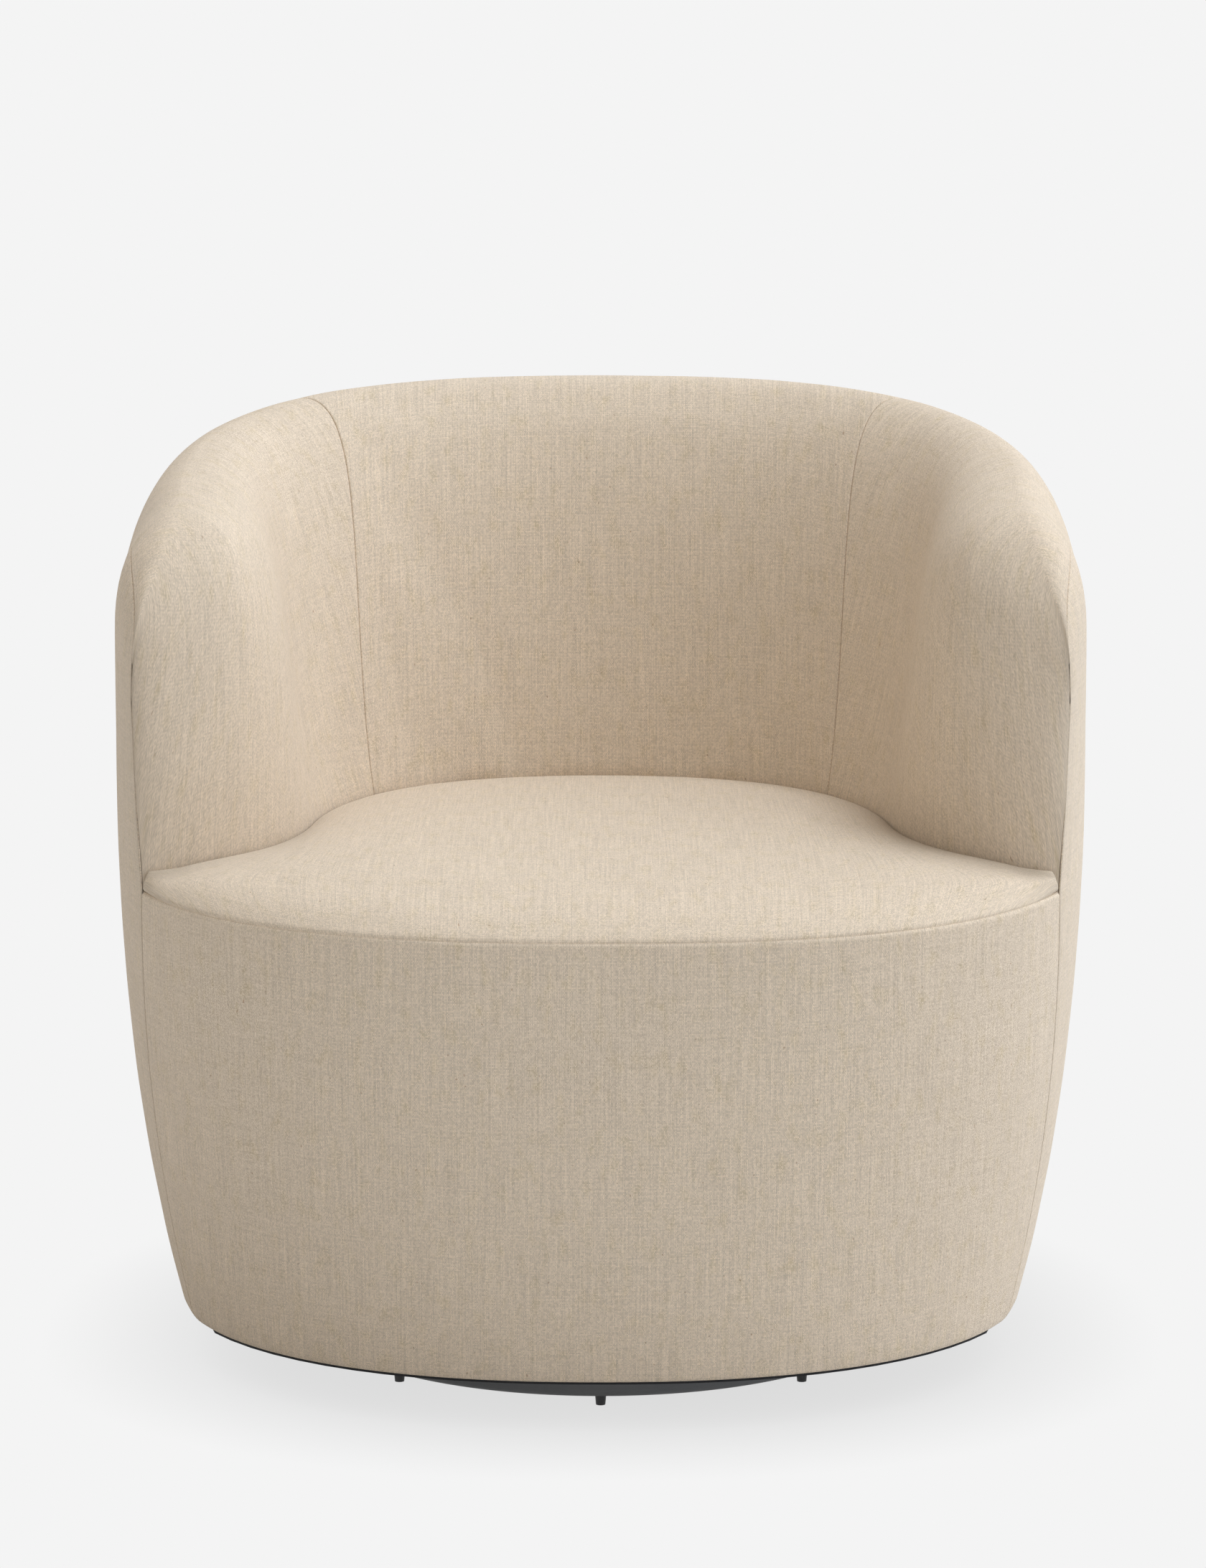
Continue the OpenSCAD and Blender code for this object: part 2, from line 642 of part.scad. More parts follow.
module bottom_rail(from, to) {
  color(timber) translate([0, 0, skirt_z])
    band(tub_line(from, to, frame_in), tub_line(from, to, frame_in + rail_w), bottom_rail_h);
}

module bottom_rail_back() { bottom_rail(-rail_split_share, rail_split_share); }
module bottom_rail_right() { bottom_rail(rail_split_share + joint_share, rail_end_share); }
module bottom_rail_left() { both_sides(-1) bottom_rail_right(); }

front_in = cover_t + fit_gap + front_board_t + fit_gap;
// Columns that the front's boards and the foam stop short of the arms
board_short_count = 1;
foam_short_count = 2;

module bottom_rail_front() {
  color(timber) translate([0, 0, skirt_z])
    band(front_line(board_short_count, front_in), front_line(board_short_count, front_in + rail_w), bottom_rail_h);
}

// Floor plan inside the bottom rails
module floor_plan() {
  inner = rail_w + fit_gap;
  polygon(concat(tub_line(-rail_end_share, rail_end_share, frame_in + inner),
                 front_line(board_short_count, front_in + inner)));
}

module cross_rail(side) {
  color(timber) both_sides(side) difference() {
    translate([0, 0, skirt_z]) linear_extrude(bottom_rail_h) intersection() {
      floor_plan();
      translate([cross_rail_x, 0]) square([cross_rail_w, body_w], center = true);
    }
    for (y = [-cross_rail_x, cross_rail_x]) translate([cross_rail_x, y, skirt_z]) {
      translate([0, 0, -cut]) cylinder(h = bottom_rail_h + 2 * cut, d = bolt_d + hole_play);
      translate([0, 0, bottom_rail_h - tee_barrel_h - fit_gap])
        cylinder(h = tee_barrel_h + fit_gap + cut, d = tee_barrel_d + hole_play);
    }
  }
}
module cross_rail_left() { cross_rail(-1); }
module cross_rail_right() { cross_rail(1); }

// A plywood rib: its outer edge follows the tub, and a foot reaches in to the seat's boards
rib_step_count = 16;
function rib_top_z(t) = crest_z(t) - top_rail_drop - top_rail_t;
module rib_profile(t, foot, inner) {
  low = bottom_rail_top_z + fit_gap;
  high = rib_top_z(t) + top_rail_t;
  top_in = frame_in + rail_w;
  p = outer2(t, belly_z);
  spread = (p * ring_normal(p)) / half;
  edge = [for (i = [0:rib_step_count]) let (z = mix(low, high, i / rib_step_count))
    [spread * (half - half_w(z) + frame_in) + roll_in(t, z) + rib_play, z]];
  deep = function (z) max(inner, half - half_w(z) + frame_in + rib_w);
  polygon(concat(edge, [
    [min(inner, top_in + crest_in(0) / 3), high], [deep(seat_rail_top_z), seat_rail_top_z], [foot, seat_rail_top_z],
    [foot, seat_rail_z], [deep(seat_rail_z), seat_rail_z], [deep(low), low]]));
}

// Everything above the underside of the crest rails
module above_crest_rail(drop) {
  rotate([atan(crest_slope), 0, 0])
    translate([-body_w, -body_w, (body_h - drop - crest_slope * crest_back_y) * cos(atan(crest_slope))])
      cube([2 * body_w, 2 * body_w, body_h]);
}

module rib(t, foot, inner) {
  p = outer2(t, belly_z);
  n = ring_normal(p);
  color(timber) difference() {
    translate([p[0], p[1], 0]) rotate([90, 0, atan2(-n[1], -n[0])])
      translate([0, 0, -rib_t / 2]) linear_extrude(rib_t) rib_profile(t, foot, inner);
    above_crest_rail(top_rail_drop + top_rail_t + fit_gap);
  }
}

front_post_share = 0.87;
side_rib_share = 0.7;
quarter_rib_share = 0.42;
back_rib_share = 0.11;

// Face of the seat's boards, seen from a rib
function side_board_x(y) =
  mix(side_board_front[0], side_board_back_x,
      (y - side_board_front[1]) / (seat_rail_back_y - side_board_front[1])) + seat_rail_t;
function rib_foot(t) = let (p = outer2(t, belly_z), n = ring_normal(p),
    slope = (side_board_front[0] - side_board_back_x) / (seat_rail_back_y - side_board_front[1]))
  (p[0] - side_board_x(p[1])) / (n[0] + slope * n[1]) - 5 * fit_gap - rib_t * abs(slope) / 2 - rib_t * abs(n[1]) / 4;

module front_post_right() { rib(front_post_share, post_reach - rib_play, post_reach); }
module front_post_left() { both_sides(-1) front_post_right(); }
module side_rib_right() { rib(side_rib_share, rib_foot(side_rib_share), rib_reach); }
module side_rib_left() { both_sides(-1) side_rib_right(); }
module quarter_rib_right() { rib(quarter_rib_share, rib_reach - 2 * rib_t, rib_reach); }
module quarter_rib_left() { both_sides(-1) quarter_rib_right(); }
back_rib_foot = outer2(back_rib_share, belly_z)[1] - seat_rail_back_y - seat_rail_t - rib_t / 8;
module back_rib_right() { rib(back_rib_share, back_rib_foot, rib_reach); }
module back_rib_left() { both_sides(-1) back_rib_right(); }

// Studs behind the front board
stud_share = 0.4;
stud_w = 45;
module front_stud(side) {
  low = bottom_rail_top_z + fit_gap;
  high = seat_rail_z - fit_gap;
  edge = [for (i = [0:rib_step_count]) let (z = mix(low, high, i / rib_step_count), p = front2(stud_share, z, front_in)) [-p[1], z]];
  back = min([for (e = edge) e[0]]) - stud_w;
  x = front2(stud_share, low, front_in)[0];
  color(timber) both_sides(side) translate([x + rib_t / 2, 0, 0]) rotate([90, 0, -90]) linear_extrude(rib_t)
    polygon(concat([for (e = edge) [e[0] - rib_t / 4, e[1]]], [[back, high], [back, low]]));
}
module front_stud_left() { front_stud(-1); }
module front_stud_right() { front_stud(1); }

// The curved board behind the front panel
module front_board() {
  low = skirt_z;
  high = topper_z - 4 * fit_gap;
  grid = function (inset) [for (i = [board_short_count:front_column_count - board_short_count]) [for (k = front_row_shares)
    let (z = mix(low, high, k), p = front2(2 * i / front_column_count - 1, z, inset)) [p[0], p[1], z]]];
  color(hessian) quilt(grid(cover_t + fit_gap), grid(cover_t + fit_gap + front_board_t));
}

module seat_rail_front() {
  z = seat_rail_z;
  color(timber) translate([0, 0, z])
    band(front_line(foam_short_count, front_in + fit_gap, z), front_line(foam_short_count, front_in + rail_w, z), seat_rail_h);
}

module seat_rail_back() {
  w = side_board_back_x;
  color(timber) translate([-w, seat_rail_back_y, seat_rail_z]) cube([2 * w, seat_rail_t, seat_rail_h]);
}

module seat_rail_right() {
  a = side_board_front;
  b = [side_board_back_x, seat_rail_back_y + seat_rail_t];
  color(timber) translate([0, 0, seat_rail_z]) linear_extrude(seat_rail_h)
    polygon([a, b + [fit_gap, 0], b + [seat_rail_t + fit_gap, 0], a + [seat_rail_t, 0]]);
}
module seat_rail_left() { both_sides(-1) seat_rail_right(); }

block_w = 55;
module corner_blocks() {
  color(timber) for (side = [-1, 1]) both_sides(side)
    translate([side_board_back_x - fit_gap, seat_rail_back_y - fit_gap, seat_rail_z]) linear_extrude(seat_rail_h)
      polygon([[0, 0], [-block_w, 0], [0, -block_w]]);
}

// Crest rails: flat boards laid to the slope of the crest
module crest_rail(from, to) {
  angle = atan(crest_slope);
  inset = crest_rail_in;
  line = function (extra) [for (i = [0:band_column_count])
    let (t = mix(from, to, i / band_column_count), a = half - inset - extra,
         p = ring(abs(t) * front_angle(belly_z), a, a, plan_power)) flip_x([p[0], p[1] / cos(angle)], t)];
  color(timber) translate([0, 0, body_h - top_rail_drop - top_rail_t - crest_slope * crest_back_y]) rotate([angle, 0, 0])
    band(line(0), line(rail_w), top_rail_t);
}
crest_rail_end_share = 0.87;
module crest_rail_back() { crest_rail(-rail_split_share, rail_split_share); }
module crest_rail_right() { crest_rail(rail_split_share + joint_share, crest_rail_end_share); }
module crest_rail_left() { both_sides(-1) crest_rail_right(); }

// Springs and webbing

function spring_x(i) = (i - (spring_count - 1) / 2) * spring_pitch;
function front_rail_y(x) = let (z = seat_rail_z, inset = front_in + rail_w)
  -ring_half(x, front_b(z) - inset, front_a(z) - inset, front_power(z));
function spring_span(x) = seat_rail_back_y - front_rail_y(x);
function bar_total(x) = floor((spring_span(x) + clip_len) / bar_pitch) + 1;
function spring_start(x) = front_rail_y(x) + (spring_span(x) - (bar_total(x) - 1) * bar_pitch) / 2;

module zigzag_spring(x) {
  bars = bar_total(x);
  turn = bar_pitch / 2;
  half = spring_w / 2 - turn;
  translate([x, spring_start(x), spring_z]) {
    for (i = [0:bars - 1]) translate([-half, i * bar_pitch, 0]) rotate([0, 90, 0]) cylinder(h = 2 * half, d = wire_d, $fn = 32);
    for (i = [0:bars - 2]) translate([i % 2 == 0 ? half : -half, (i + 1 / 2) * bar_pitch, 0])
      rotate([0, 0, i % 2 == 0 ? -90 : 90]) rotate_extrude(angle = 180, $fn = 32) translate([turn, 0]) circle(d = wire_d, $fn = 32);
  }
}

module seat_springs() { color(steel) for (i = [0:spring_count - 1]) zigzag_spring(spring_x(i)); }

// A clip is a bent plate that closes over the last bar
module spring_clip() {
  r = wire_d / 2 + fit_gap;
  difference() {
    translate([-clip_w / 2, 0, 0]) rotate([90, 0, 90]) linear_extrude(clip_w) {
      circle(r = r + clip_wall);
      translate([0, -r - clip_wall]) square([clip_len, clip_wall]);
    }
    rotate([0, 90, 0]) cylinder(h = clip_w + 2 * cut, r = r, center = true);
  }
}

module spring_clips() {
  color(steel) for (i = [0:spring_count - 1]) let (x = spring_x(i), y = spring_start(x)) {
    translate([x, y, spring_z]) mirror([0, 1, 0]) spring_clip();
    translate([x, y + (bar_total(x) - 1) * bar_pitch, spring_z]) spring_clip();
  }
}

// Plan of the seat inside the padding
well_column_count = 32;
function well_line(gap) = [for (i = [0:2 * well_column_count])
  let (t = (i / well_column_count - 1) * foam_front_share, p = well2(abs(t)) - well_out(abs(t)) * gap) flip_x(p, t)];
foam_front_share = 0.9;
module seat_plan(gap, inset, z) { polygon(concat(well_line(gap), front_line(foam_short_count, inset, z))); }

module seat_deck() {
  color(hessian) translate([0, 0, deck_z]) linear_extrude(deck_t) seat_plan(2 * fit_gap, front_in + 2 * fit_gap, deck_z);
}
module seat_foam() {
  color(foam) translate([0, 0, foam_z]) linear_extrude(foam_t) seat_plan(2 * fit_gap, front_in + 2 * fit_gap, foam_z);
}

// A strap pulled straight from a seat board up to a crest rail
module strap(low, high, w) {
  d = high - low;
  translate(low) rotate([0, 0, atan2(d[1], d[0])]) rotate([0, 90 - atan2(d[2], norm([d[0], d[1]])), 0])
    translate([-web_t, -w / 2, 0]) cube([web_t, w, norm(d)]);
}

strap_shares = [-1.5, -0.5, 0.5, 1.5];
module back_webbing() {
  y = half - crest_rail_in - rail_w / 2;
  top = crest_line(y) - top_rail_drop - top_rail_t - 2 * fit_gap;
  color(hessian) for (k = strap_shares) let (x = k * spring_pitch)
    strap([x, seat_rail_back_y + seat_rail_t / 2, seat_rail_top_z + 2 * fit_gap], [x, y, top], web_w);
}

arm_strap_y = [-8, 110, 172];
module arm_webbing() {
  color(hessian) for (side = [-1, 1]) both_sides(side) for (y = arm_strap_y)
    let (a = half - crest_rail_in - rail_w / 2, x = ring_half(y, a, a, plan_power),
         top = crest_line(y) - top_rail_drop - top_rail_t - 2 * fit_gap - crest_slope * web_w / 2)
      strap([side_board_x(y) - seat_rail_t / 2, y, seat_rail_top_z + 2 * fit_gap], [x, y, top], web_w);
}

// Upholstery

function cover_grid(from, to, inset) = [for (i = [0:cover_column_count]) let (t = mix(from, to, i / cover_column_count))
  [for (k = cover_row_shares) let (z = mix(skirt_z, seam_z(abs(t)) - seam_gap, k))
    outside(t, z, inset * fullness(abs(t)))]];

back_seam_share = seam_crest_share;
panel_gap = seam_gap / body_w;
module outside_back() {
  s = back_seam_share - panel_gap;
  color(fabric) quilt(cover_grid(-s, s, cover_t), cover_grid(-s, s, 0));
}
module outside_arm_right() {
  s = back_seam_share + panel_gap;
  color(fabric) quilt(cover_grid(s, 1, cover_t), cover_grid(s, 1, 0));
}
module outside_arm_left() { both_sides(-1) outside_arm_right(); }

function back_grid(depth) = [for (i = [0:pad_column_count]) let (k = 2 * i / pad_column_count - 1)
  [for (v = pad_row_shares) pad_point(k * (back_seam(v) - panel_gap), v, depth)]];
function arm_grid(depth) = [for (i = [0:pad_column_count]) let (k = 1 - pow(1 - i / pad_column_count, 3 / 2))
  [for (v = pad_row_shares) pad_point(mix(back_seam(v) + panel_gap, 1, k), v, depth)]];
module inside_back() { color(fabric) quilt(back_grid(1), back_grid(0)); }
module inside_arm_right() { color(fabric) quilt(arm_grid(1), arm_grid(0)); }
module inside_arm_left() { both_sides(-1) inside_arm_right(); }

module front_panel() {
  span_share = 1 - seam_gap / front_top_y;
  grid = function (depth) [for (i = [0:front_column_count]) [for (k = front_row_shares)
    let (z = mix(skirt_z, mix(front_seam_z - fit_gap, topper_z - 4 * fit_gap, depth), k),
         p = front2((2 * i / front_column_count - 1) * span_share, z, depth * cover_t)) [p[0], p[1], z]]];
  color(fabric) quilt(grid(0), grid(1));
}

// Seat topper: crowned, rounded over its front edge, and drawn down to the seam at both corners
function seat_cell(q, r, depth) = let (
    edge = front2(q, front_seam_z), b = flip_x(well2(abs(q)) - well_out(abs(q)) * seat_side_gap, q),
    far = norm(b - edge), tuck = min(cover_t, far / 2) * depth, a = front2(q, front_seam_z, tuck),
    p = mix(a, b, r), d = tuck + r * (far - tuck),
    rise = (seat_z - front_seam_z) * (1 - exp(-d / max(seat_corner_round, min(seat_round, far / 2)))),
    crown = seat_crown * sin(180 * r) * share(far / (front_top_y + well_back_y)))
  [p[0], p[1], depth > 0 ? max(topper_z, front_seam_z - topper_depth * d / cover_t) : front_seam_z + rise + crown];
seat_front_share = 0.985;
function seat_grid(depth) = [for (i = [0:front_column_count]) let (q = (2 * i / front_column_count - 1) * seat_front_share)
  [for (r = seat_row_shares) seat_cell(q, r, depth)]];
module seat_pad() { color(fabric) quilt(seat_grid(0), seat_grid(1)); }

base_disc();
glides();
lower_plate();
disc_screws();
centre_pin();
pin_washer();
pin_nut();
ball_cage();
bearing_balls();
upper_plate();
plate_bolts();
tee_nuts();
dust_cover();
cross_rail_left();
cross_rail_right();
bottom_rail_front();
bottom_rail_back();
bottom_rail_left();
bottom_rail_right();
front_post_left();
front_post_right();
side_rib_left();
side_rib_right();
quarter_rib_left();
quarter_rib_right();
back_rib_left();
back_rib_right();
front_stud_left();
front_stud_right();
front_board();
seat_rail_front();
seat_rail_back();
seat_rail_left();
seat_rail_right();
corner_blocks();
crest_rail_back();
crest_rail_left();
crest_rail_right();
seat_springs();
spring_clips();
seat_deck();
seat_foam();
back_webbing();
arm_webbing();
outside_back();
outside_arm_left();
outside_arm_right();
inside_back();
inside_arm_left();
inside_arm_right();
seat_pad();
front_panel();
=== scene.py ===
import bpy
import json
import math
from functools import lru_cache
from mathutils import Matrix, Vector, noise


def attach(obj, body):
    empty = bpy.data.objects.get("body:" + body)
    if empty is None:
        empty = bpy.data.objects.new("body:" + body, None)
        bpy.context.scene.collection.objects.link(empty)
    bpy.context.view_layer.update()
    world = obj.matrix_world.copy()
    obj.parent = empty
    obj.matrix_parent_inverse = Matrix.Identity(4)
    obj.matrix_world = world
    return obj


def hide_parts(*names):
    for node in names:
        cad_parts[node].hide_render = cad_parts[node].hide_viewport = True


print("loading the frame")
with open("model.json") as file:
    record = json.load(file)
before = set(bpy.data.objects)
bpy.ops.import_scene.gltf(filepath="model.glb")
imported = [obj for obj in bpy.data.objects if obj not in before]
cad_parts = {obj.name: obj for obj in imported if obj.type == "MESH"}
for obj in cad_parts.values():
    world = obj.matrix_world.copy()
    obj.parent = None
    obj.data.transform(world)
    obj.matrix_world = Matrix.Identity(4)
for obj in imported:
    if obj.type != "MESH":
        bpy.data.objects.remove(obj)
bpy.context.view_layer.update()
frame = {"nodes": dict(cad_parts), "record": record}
nodes = frame["nodes"]

# the tub's outside, in metres: its plan, its belly, the hem that rolls under, and its front
tub = {"half": 0.3912, "bottomHalf": 0.342, "skirt": 0.042, "belly": 0.5, "planPower": 2.5,
       "bellyPower": 2.35, "hem": 0.0115, "hemFront": 0.55, "hemPower": 6,
       "armFoot": 0.138, "armSeat": 0.190, "armTop": 0.172, "armCorner": 0.556,
       "frontSeam": 0.409, "frontTop": 0.383, "frontFoot": 0.319, "frontPower": 2.27}
# the roll on top: its crest falls to the arms, and it closes towards their front edge
roll = {"crest": 0.7483, "armCrest": 0.6838, "cornerDrop": 0.094, "cornerFrom": 0.45,
        "in": 0.055, "reach": 0.062, "high": 0.118, "tipHigh": 0.050, "tipFrom": 0.78,
        "closePower": 4, "closeRound": 0.9, "closeLeft": 0.02,
        "seamDrop": 0.036, "seamDip": 0.003, "seamPower": 1.2, "step": 0.003}
# the seat's outline between the arms, and how the walls stand up from it
well = {"half": 0.235, "sideY": -0.028, "backY": 0.184, "seat": 0.43, "draft": 0.13, "backReach": 0.15,
        "sideReach": 0.125, "noseSide": 0.104, "noseFront": 0.05, "split": 0.57, "step": 0.004,
        "lean": 0.3, "leanReach": 0.15, "leanRoom": 0.010,
        "wallFrom": 0.45, "wallTo": 0.85, "wall": 0.72, "shoulder": 0.62, "arch": 0.5,
        "fan": 0.12, "fanFrom": 0.376, "fanRise": 0.50, "fanFall": 0.85, "fanPower": 4}
# depths of the padding behind the cloth, and the arms' soft front edge
padding = {"cover": 0.010, "crest": 0.025, "side": 0.042, "topper": 0.011, "low": 0.402,
           "lift": (0.84, 0.95), "close": 0.86, "edge": 0.0012, "edgeRise": 8,
           "bulge": 0.007, "bulgeReach": 0.020, "bulgeTo": (0.25, -0.97, 0), "bulgeTop": 0.5,
           "bulgeFoot": 0.2}
# where the seam between back and arms runs, from the crest down to the seat
backSeamShares = (0.376, 0.348, 0.303, 0.34)


def mix(a, b, k):
    return a + (b - a) * k


def clamp(k):
    return max(0.0, min(1.0, k))


def soft(k):
    return k * k * (3 - 2 * k)


def bezier(a, b, c, d, k):
    return a * (1 - k) ** 3 + b * 3 * k * (1 - k) ** 2 + c * 3 * k * k * (1 - k) + d * k ** 3


# half width of the tub at a height, and the hem that rolls it under at the bottom
def plainHalf(z):
    k = max(0.0, (tub["belly"] - z) / (tub["belly"] - tub["skirt"]))
    return tub["half"] - (tub["half"] - tub["bottomHalf"]) * k ** tub["bellyPower"]


def halfWidth(z, t=0.0):
    k = clamp((tub["skirt"] + tub["hem"] - z) / tub["hem"])
    deep = tub["hem"] * mix(1, tub["hemFront"], abs(t) ** tub["hemPower"])
    return plainHalf(z) - deep * (1 - math.sqrt(1 - k * k))


def ringAt(angle, a, b, power):
    s, c = math.sin(angle), math.cos(angle)
    r = ((abs(s) / a) ** power + (abs(c) / b) ** power) ** (-1 / power)
    return Vector((r * s, r * c, 0))


def ringHalf(y, a, b, power):
    return a * max(0.0, 1 - min(1.0, abs(y) / b) ** power) ** (1 / power)


def ringNormal(p):
    k = tub["planPower"] - 1
    return Vector((math.copysign(abs(p.x) ** k, p.x), math.copysign(abs(p.y) ** k, p.y), 0)).normalized()


# how far forward the arms' front edge lies at a height
def armFront(z):
    seam = tub["frontSeam"]
    if z <= seam:
        return mix(tub["armFoot"], tub["armSeat"], (z - tub["skirt"]) / (seam - tub["skirt"]))
    return mix(tub["armSeat"], tub["armTop"], clamp((z - seam) / (tub["armCorner"] - seam)))


def frontAngle(z):
    y, half = armFront(z), plainHalf(z)
    return math.atan2(ringHalf(y, half, half, tub["planPower"]), -y)


# outside of the tub: t is 0 at the middle of the back and 1 at the arm's front edge
def outer(t, z, inset=0.0):
    half = halfWidth(z, t) - inset
    return ringAt(t * frontAngle(z), half, half, tub["planPower"])


# the roll at t: outward direction, share of its full size, crest, outside seam and the height it rounds over
@lru_cache(None)
def station(t):
    p = outer(t, tub["belly"])
    n = ringNormal(p)
    near = max(0.0, -p.y) / armFront(tub["belly"])
    full = mix(max(0.0, 1 - near ** roll["closePower"]) ** roll["closeRound"], 1, roll["closeLeft"])
    backY = tub["half"] - roll["in"]
    y = min(p.y - n.y * roll["in"] * full, backY)
    slope = (roll["crest"] - roll["armCrest"]) / (backY + tub["armTop"])
    k = clamp((near - roll["cornerFrom"]) / (1 - roll["cornerFrom"]))
    top = roll["crest"] - slope * (backY - y) - roll["cornerDrop"] * (1 - math.sqrt(max(0.0, 1 - k * k)))
    wrap = max(0.0, 1 - near ** roll["seamPower"])
    seam = top - roll["seamDrop"] * math.sqrt(wrap) - roll["seamDip"] * wrap
    tight = clamp((t - roll["tipFrom"]) / (1 - roll["tipFrom"]))
    high = mix(roll["high"], roll["tipHigh"], soft(tight))
    return n, full, top, seam, high


# outside of the tub with its roll: depth 1 is the back of the cover's padding
def outside(t, z, depth=0.0):
    n, full, top, seam, high = station(abs(t))
    inset = depth * padding["cover"] * full
    p = outer(abs(t), z, inset)
    k = clamp((z - top + high) / high)
    p = p - n * roll["in"] * full * (1 - math.sqrt(1 - k * k))
    return Vector((math.copysign(p.x, t) if t else 0.0, p.y, z))


# edge of the seat, from the middle of the back to the arm's front edge
@lru_cache(None)
def wellLine(t):
    side, split = Vector((well["half"], well["sideY"], 0)), well["split"]
    if t <= split:
        return bezier(Vector((0, well["backY"], 0)), Vector((well["backReach"], well["backY"], 0)),
                      side + Vector((-well["draft"], 1, 0)) * well["sideReach"], side, t / split)
    half, armY = plainHalf(well["seat"]), tub["armSeat"]
    tip = Vector((ringHalf(armY, half, half, tub["planPower"]) - padding["edge"], -armY, 0))
    return bezier(side, side + Vector((well["draft"], -1, 0)) * well["noseSide"],
                  tip - Vector((well["noseFront"], 0, 0)), tip, (t - split) / (1 - split))


@lru_cache(None)
def wellOut(t):
    d = (wellLine(min(1, t + well["step"])) - wellLine(max(0, t - well["step"]))).normalized()
    return Vector((-d.y, d.x, 0))


# padding round the well: v is -1 at its outside seam, 0 at the crest, 1 at the seat, and more below it
def padAt(t, v, depth=0.0):
    side, t = (-1 if t < 0 else 1), abs(t)
    p = padPoint(t, v, depth)
    near = clamp((t - padding["close"]) / (1 - padding["close"]))
    if v > 0 and near > 0:
        # near its front edge the arm's padding closes onto the outside panel
        tip = padPoint(1, v, 0.0)
        edge = outside(1, tip.z)
        gap = edge - tip - station(1)[0] * padding["edge"] * min(1, padding["edgeRise"] * v)
        p = p + Vector((gap.x, gap.y, 0)) * near ** 2
        # and stands forwards of the seam as a soft round edge
        k = 1 - min(1, (p - edge).xy.length / padding["bulgeReach"])
        swell = padding["bulge"] * math.sqrt(1 - k * k) * (1 - depth) * soft(near)
        ends = soft(clamp(v / padding["bulgeTop"])) * soft(clamp((1 - v) / padding["bulgeFoot"]))
        p = p + Vector(padding["bulgeTo"]) * swell * ends
    p.x *= side
    return p


# the arms' padding fans out: a station behind the front edge meets the seat further back than it crests
@lru_cache(None)
def footShare(t):
    rise = clamp((t - well["fanFrom"]) / well["fanRise"])
    fall = clamp((t - well["fanFall"]) / (1 - well["fanFall"]))
    return t - well["fan"] * soft(rise) * (1 - fall ** well["fanPower"])


@lru_cache(None)
def crestAt(t, depth):
    n, full, top = station(t)[:3]
    skin = depth * padding["cover"] * full
    p = outer(t, top, skin) - n * (roll["in"] * full - skin)
    return Vector((p.x, p.y, top - depth * padding["crest"] * full))


def padPoint(t, v, depth):
    n, full, top, seam, high = station(t)
    s = footShare(t)
    head, skin = depth * padding["crest"] * full, depth * padding["cover"] * full
    rollIn = roll["in"] * full
    foot = wellLine(s) + wellOut(s) * depth * padding["side"] * full + Vector((0, 0, well["seat"]))
    if v < 0:
        start = math.asin(min(1, (seam - top + high) / (high - head)))
        a = mix(math.pi / 2, start, -v)
        z = top - high + (high - head) * math.sin(a)
        p = outer(t, z, skin) - n * (rollIn - skin) * (1 - math.cos(a))
        p.z = z
    elif v <= 1:
        crest = crestAt(t, depth)
        # the back leans out over the seat's edge, and the arms stand up from it as a round wall
        wide = soft(clamp((t - well["wallFrom"]) / (well["wallTo"] - well["wallFrom"])))
        height = top - head - well["seat"]
        lift = mix(min(well["leanReach"], height - well["leanRoom"]), well["wall"] * height, wide)
        lean = wellOut(s) * well["lean"] * well["leanReach"] * full * (1 - wide) + Vector((0, 0, lift))
        # the arm's shoulder leaves along the crest's own slope, and arches over
        ahead, behind = crestAt(min(1, t + roll["step"]), depth), crestAt(max(0, t - roll["step"]), depth)
        along = (ahead - behind).normalized()
        up, over = n.cross(along).normalized(), (foot - crest) * well["shoulder"]
        over.z = 0
        over = over - up * over.dot(up) - n * rollIn * well["arch"]
        shoulder = mix(-n * (roll["reach"] - head / 2) * full, over, wide)
        p = bezier(crest, crest + shoulder, foot + lean, foot, v)
    else:
        a, b = padding["lift"]
        low = mix(padding["low"], tub["frontSeam"] + sewing["gap"], clamp((s - a) / (b - a)))
        p = Vector((foot.x, foot.y, mix(well["seat"], low, (v - 1) / insidePanels["below"])))
    return p


def backSeam(v):
    return bezier(*backSeamShares, clamp(v))


# front of the tub under the seat: q runs from -1 to 1 between the arms
def frontAt(q, z, inset=0.0):
    low = (z - tub["skirt"]) / (tub["frontSeam"] - tub["skirt"])
    power = mix(tub["frontPower"], tub["planPower"], low)
    under = (tub["belly"] - z) / (tub["belly"] - tub["skirt"])
    b = tub["frontTop"] - (tub["frontTop"] - tub["frontFoot"]) * under ** tub["bellyPower"]
    y, half = armFront(z), halfWidth(z, 1)
    edge = ringHalf(y, half, half, tub["planPower"])
    a = edge / ringHalf(y, 1, b, power)
    p = ringAt(q * math.atan2(edge, y), a - inset, b - inset, power)
    return Vector((p.x, -p.y, z))


# sewn panels: the turned edge at a seam, the mesh's spacing beside it, and the cloth's slight unevenness
sewing = {"round": 0.0014, "gap": 0.0002, "step": 0.009,
          "fine": (0, 0.0003, 0.0008, 0.0014, 0.0024, 0.0036, 0.006, 0.010),
          "tipShare": 0.25, "tipReach": 0.05, "unevenness": 0.0005, "waves": (9, 23), "calm": 0.02}


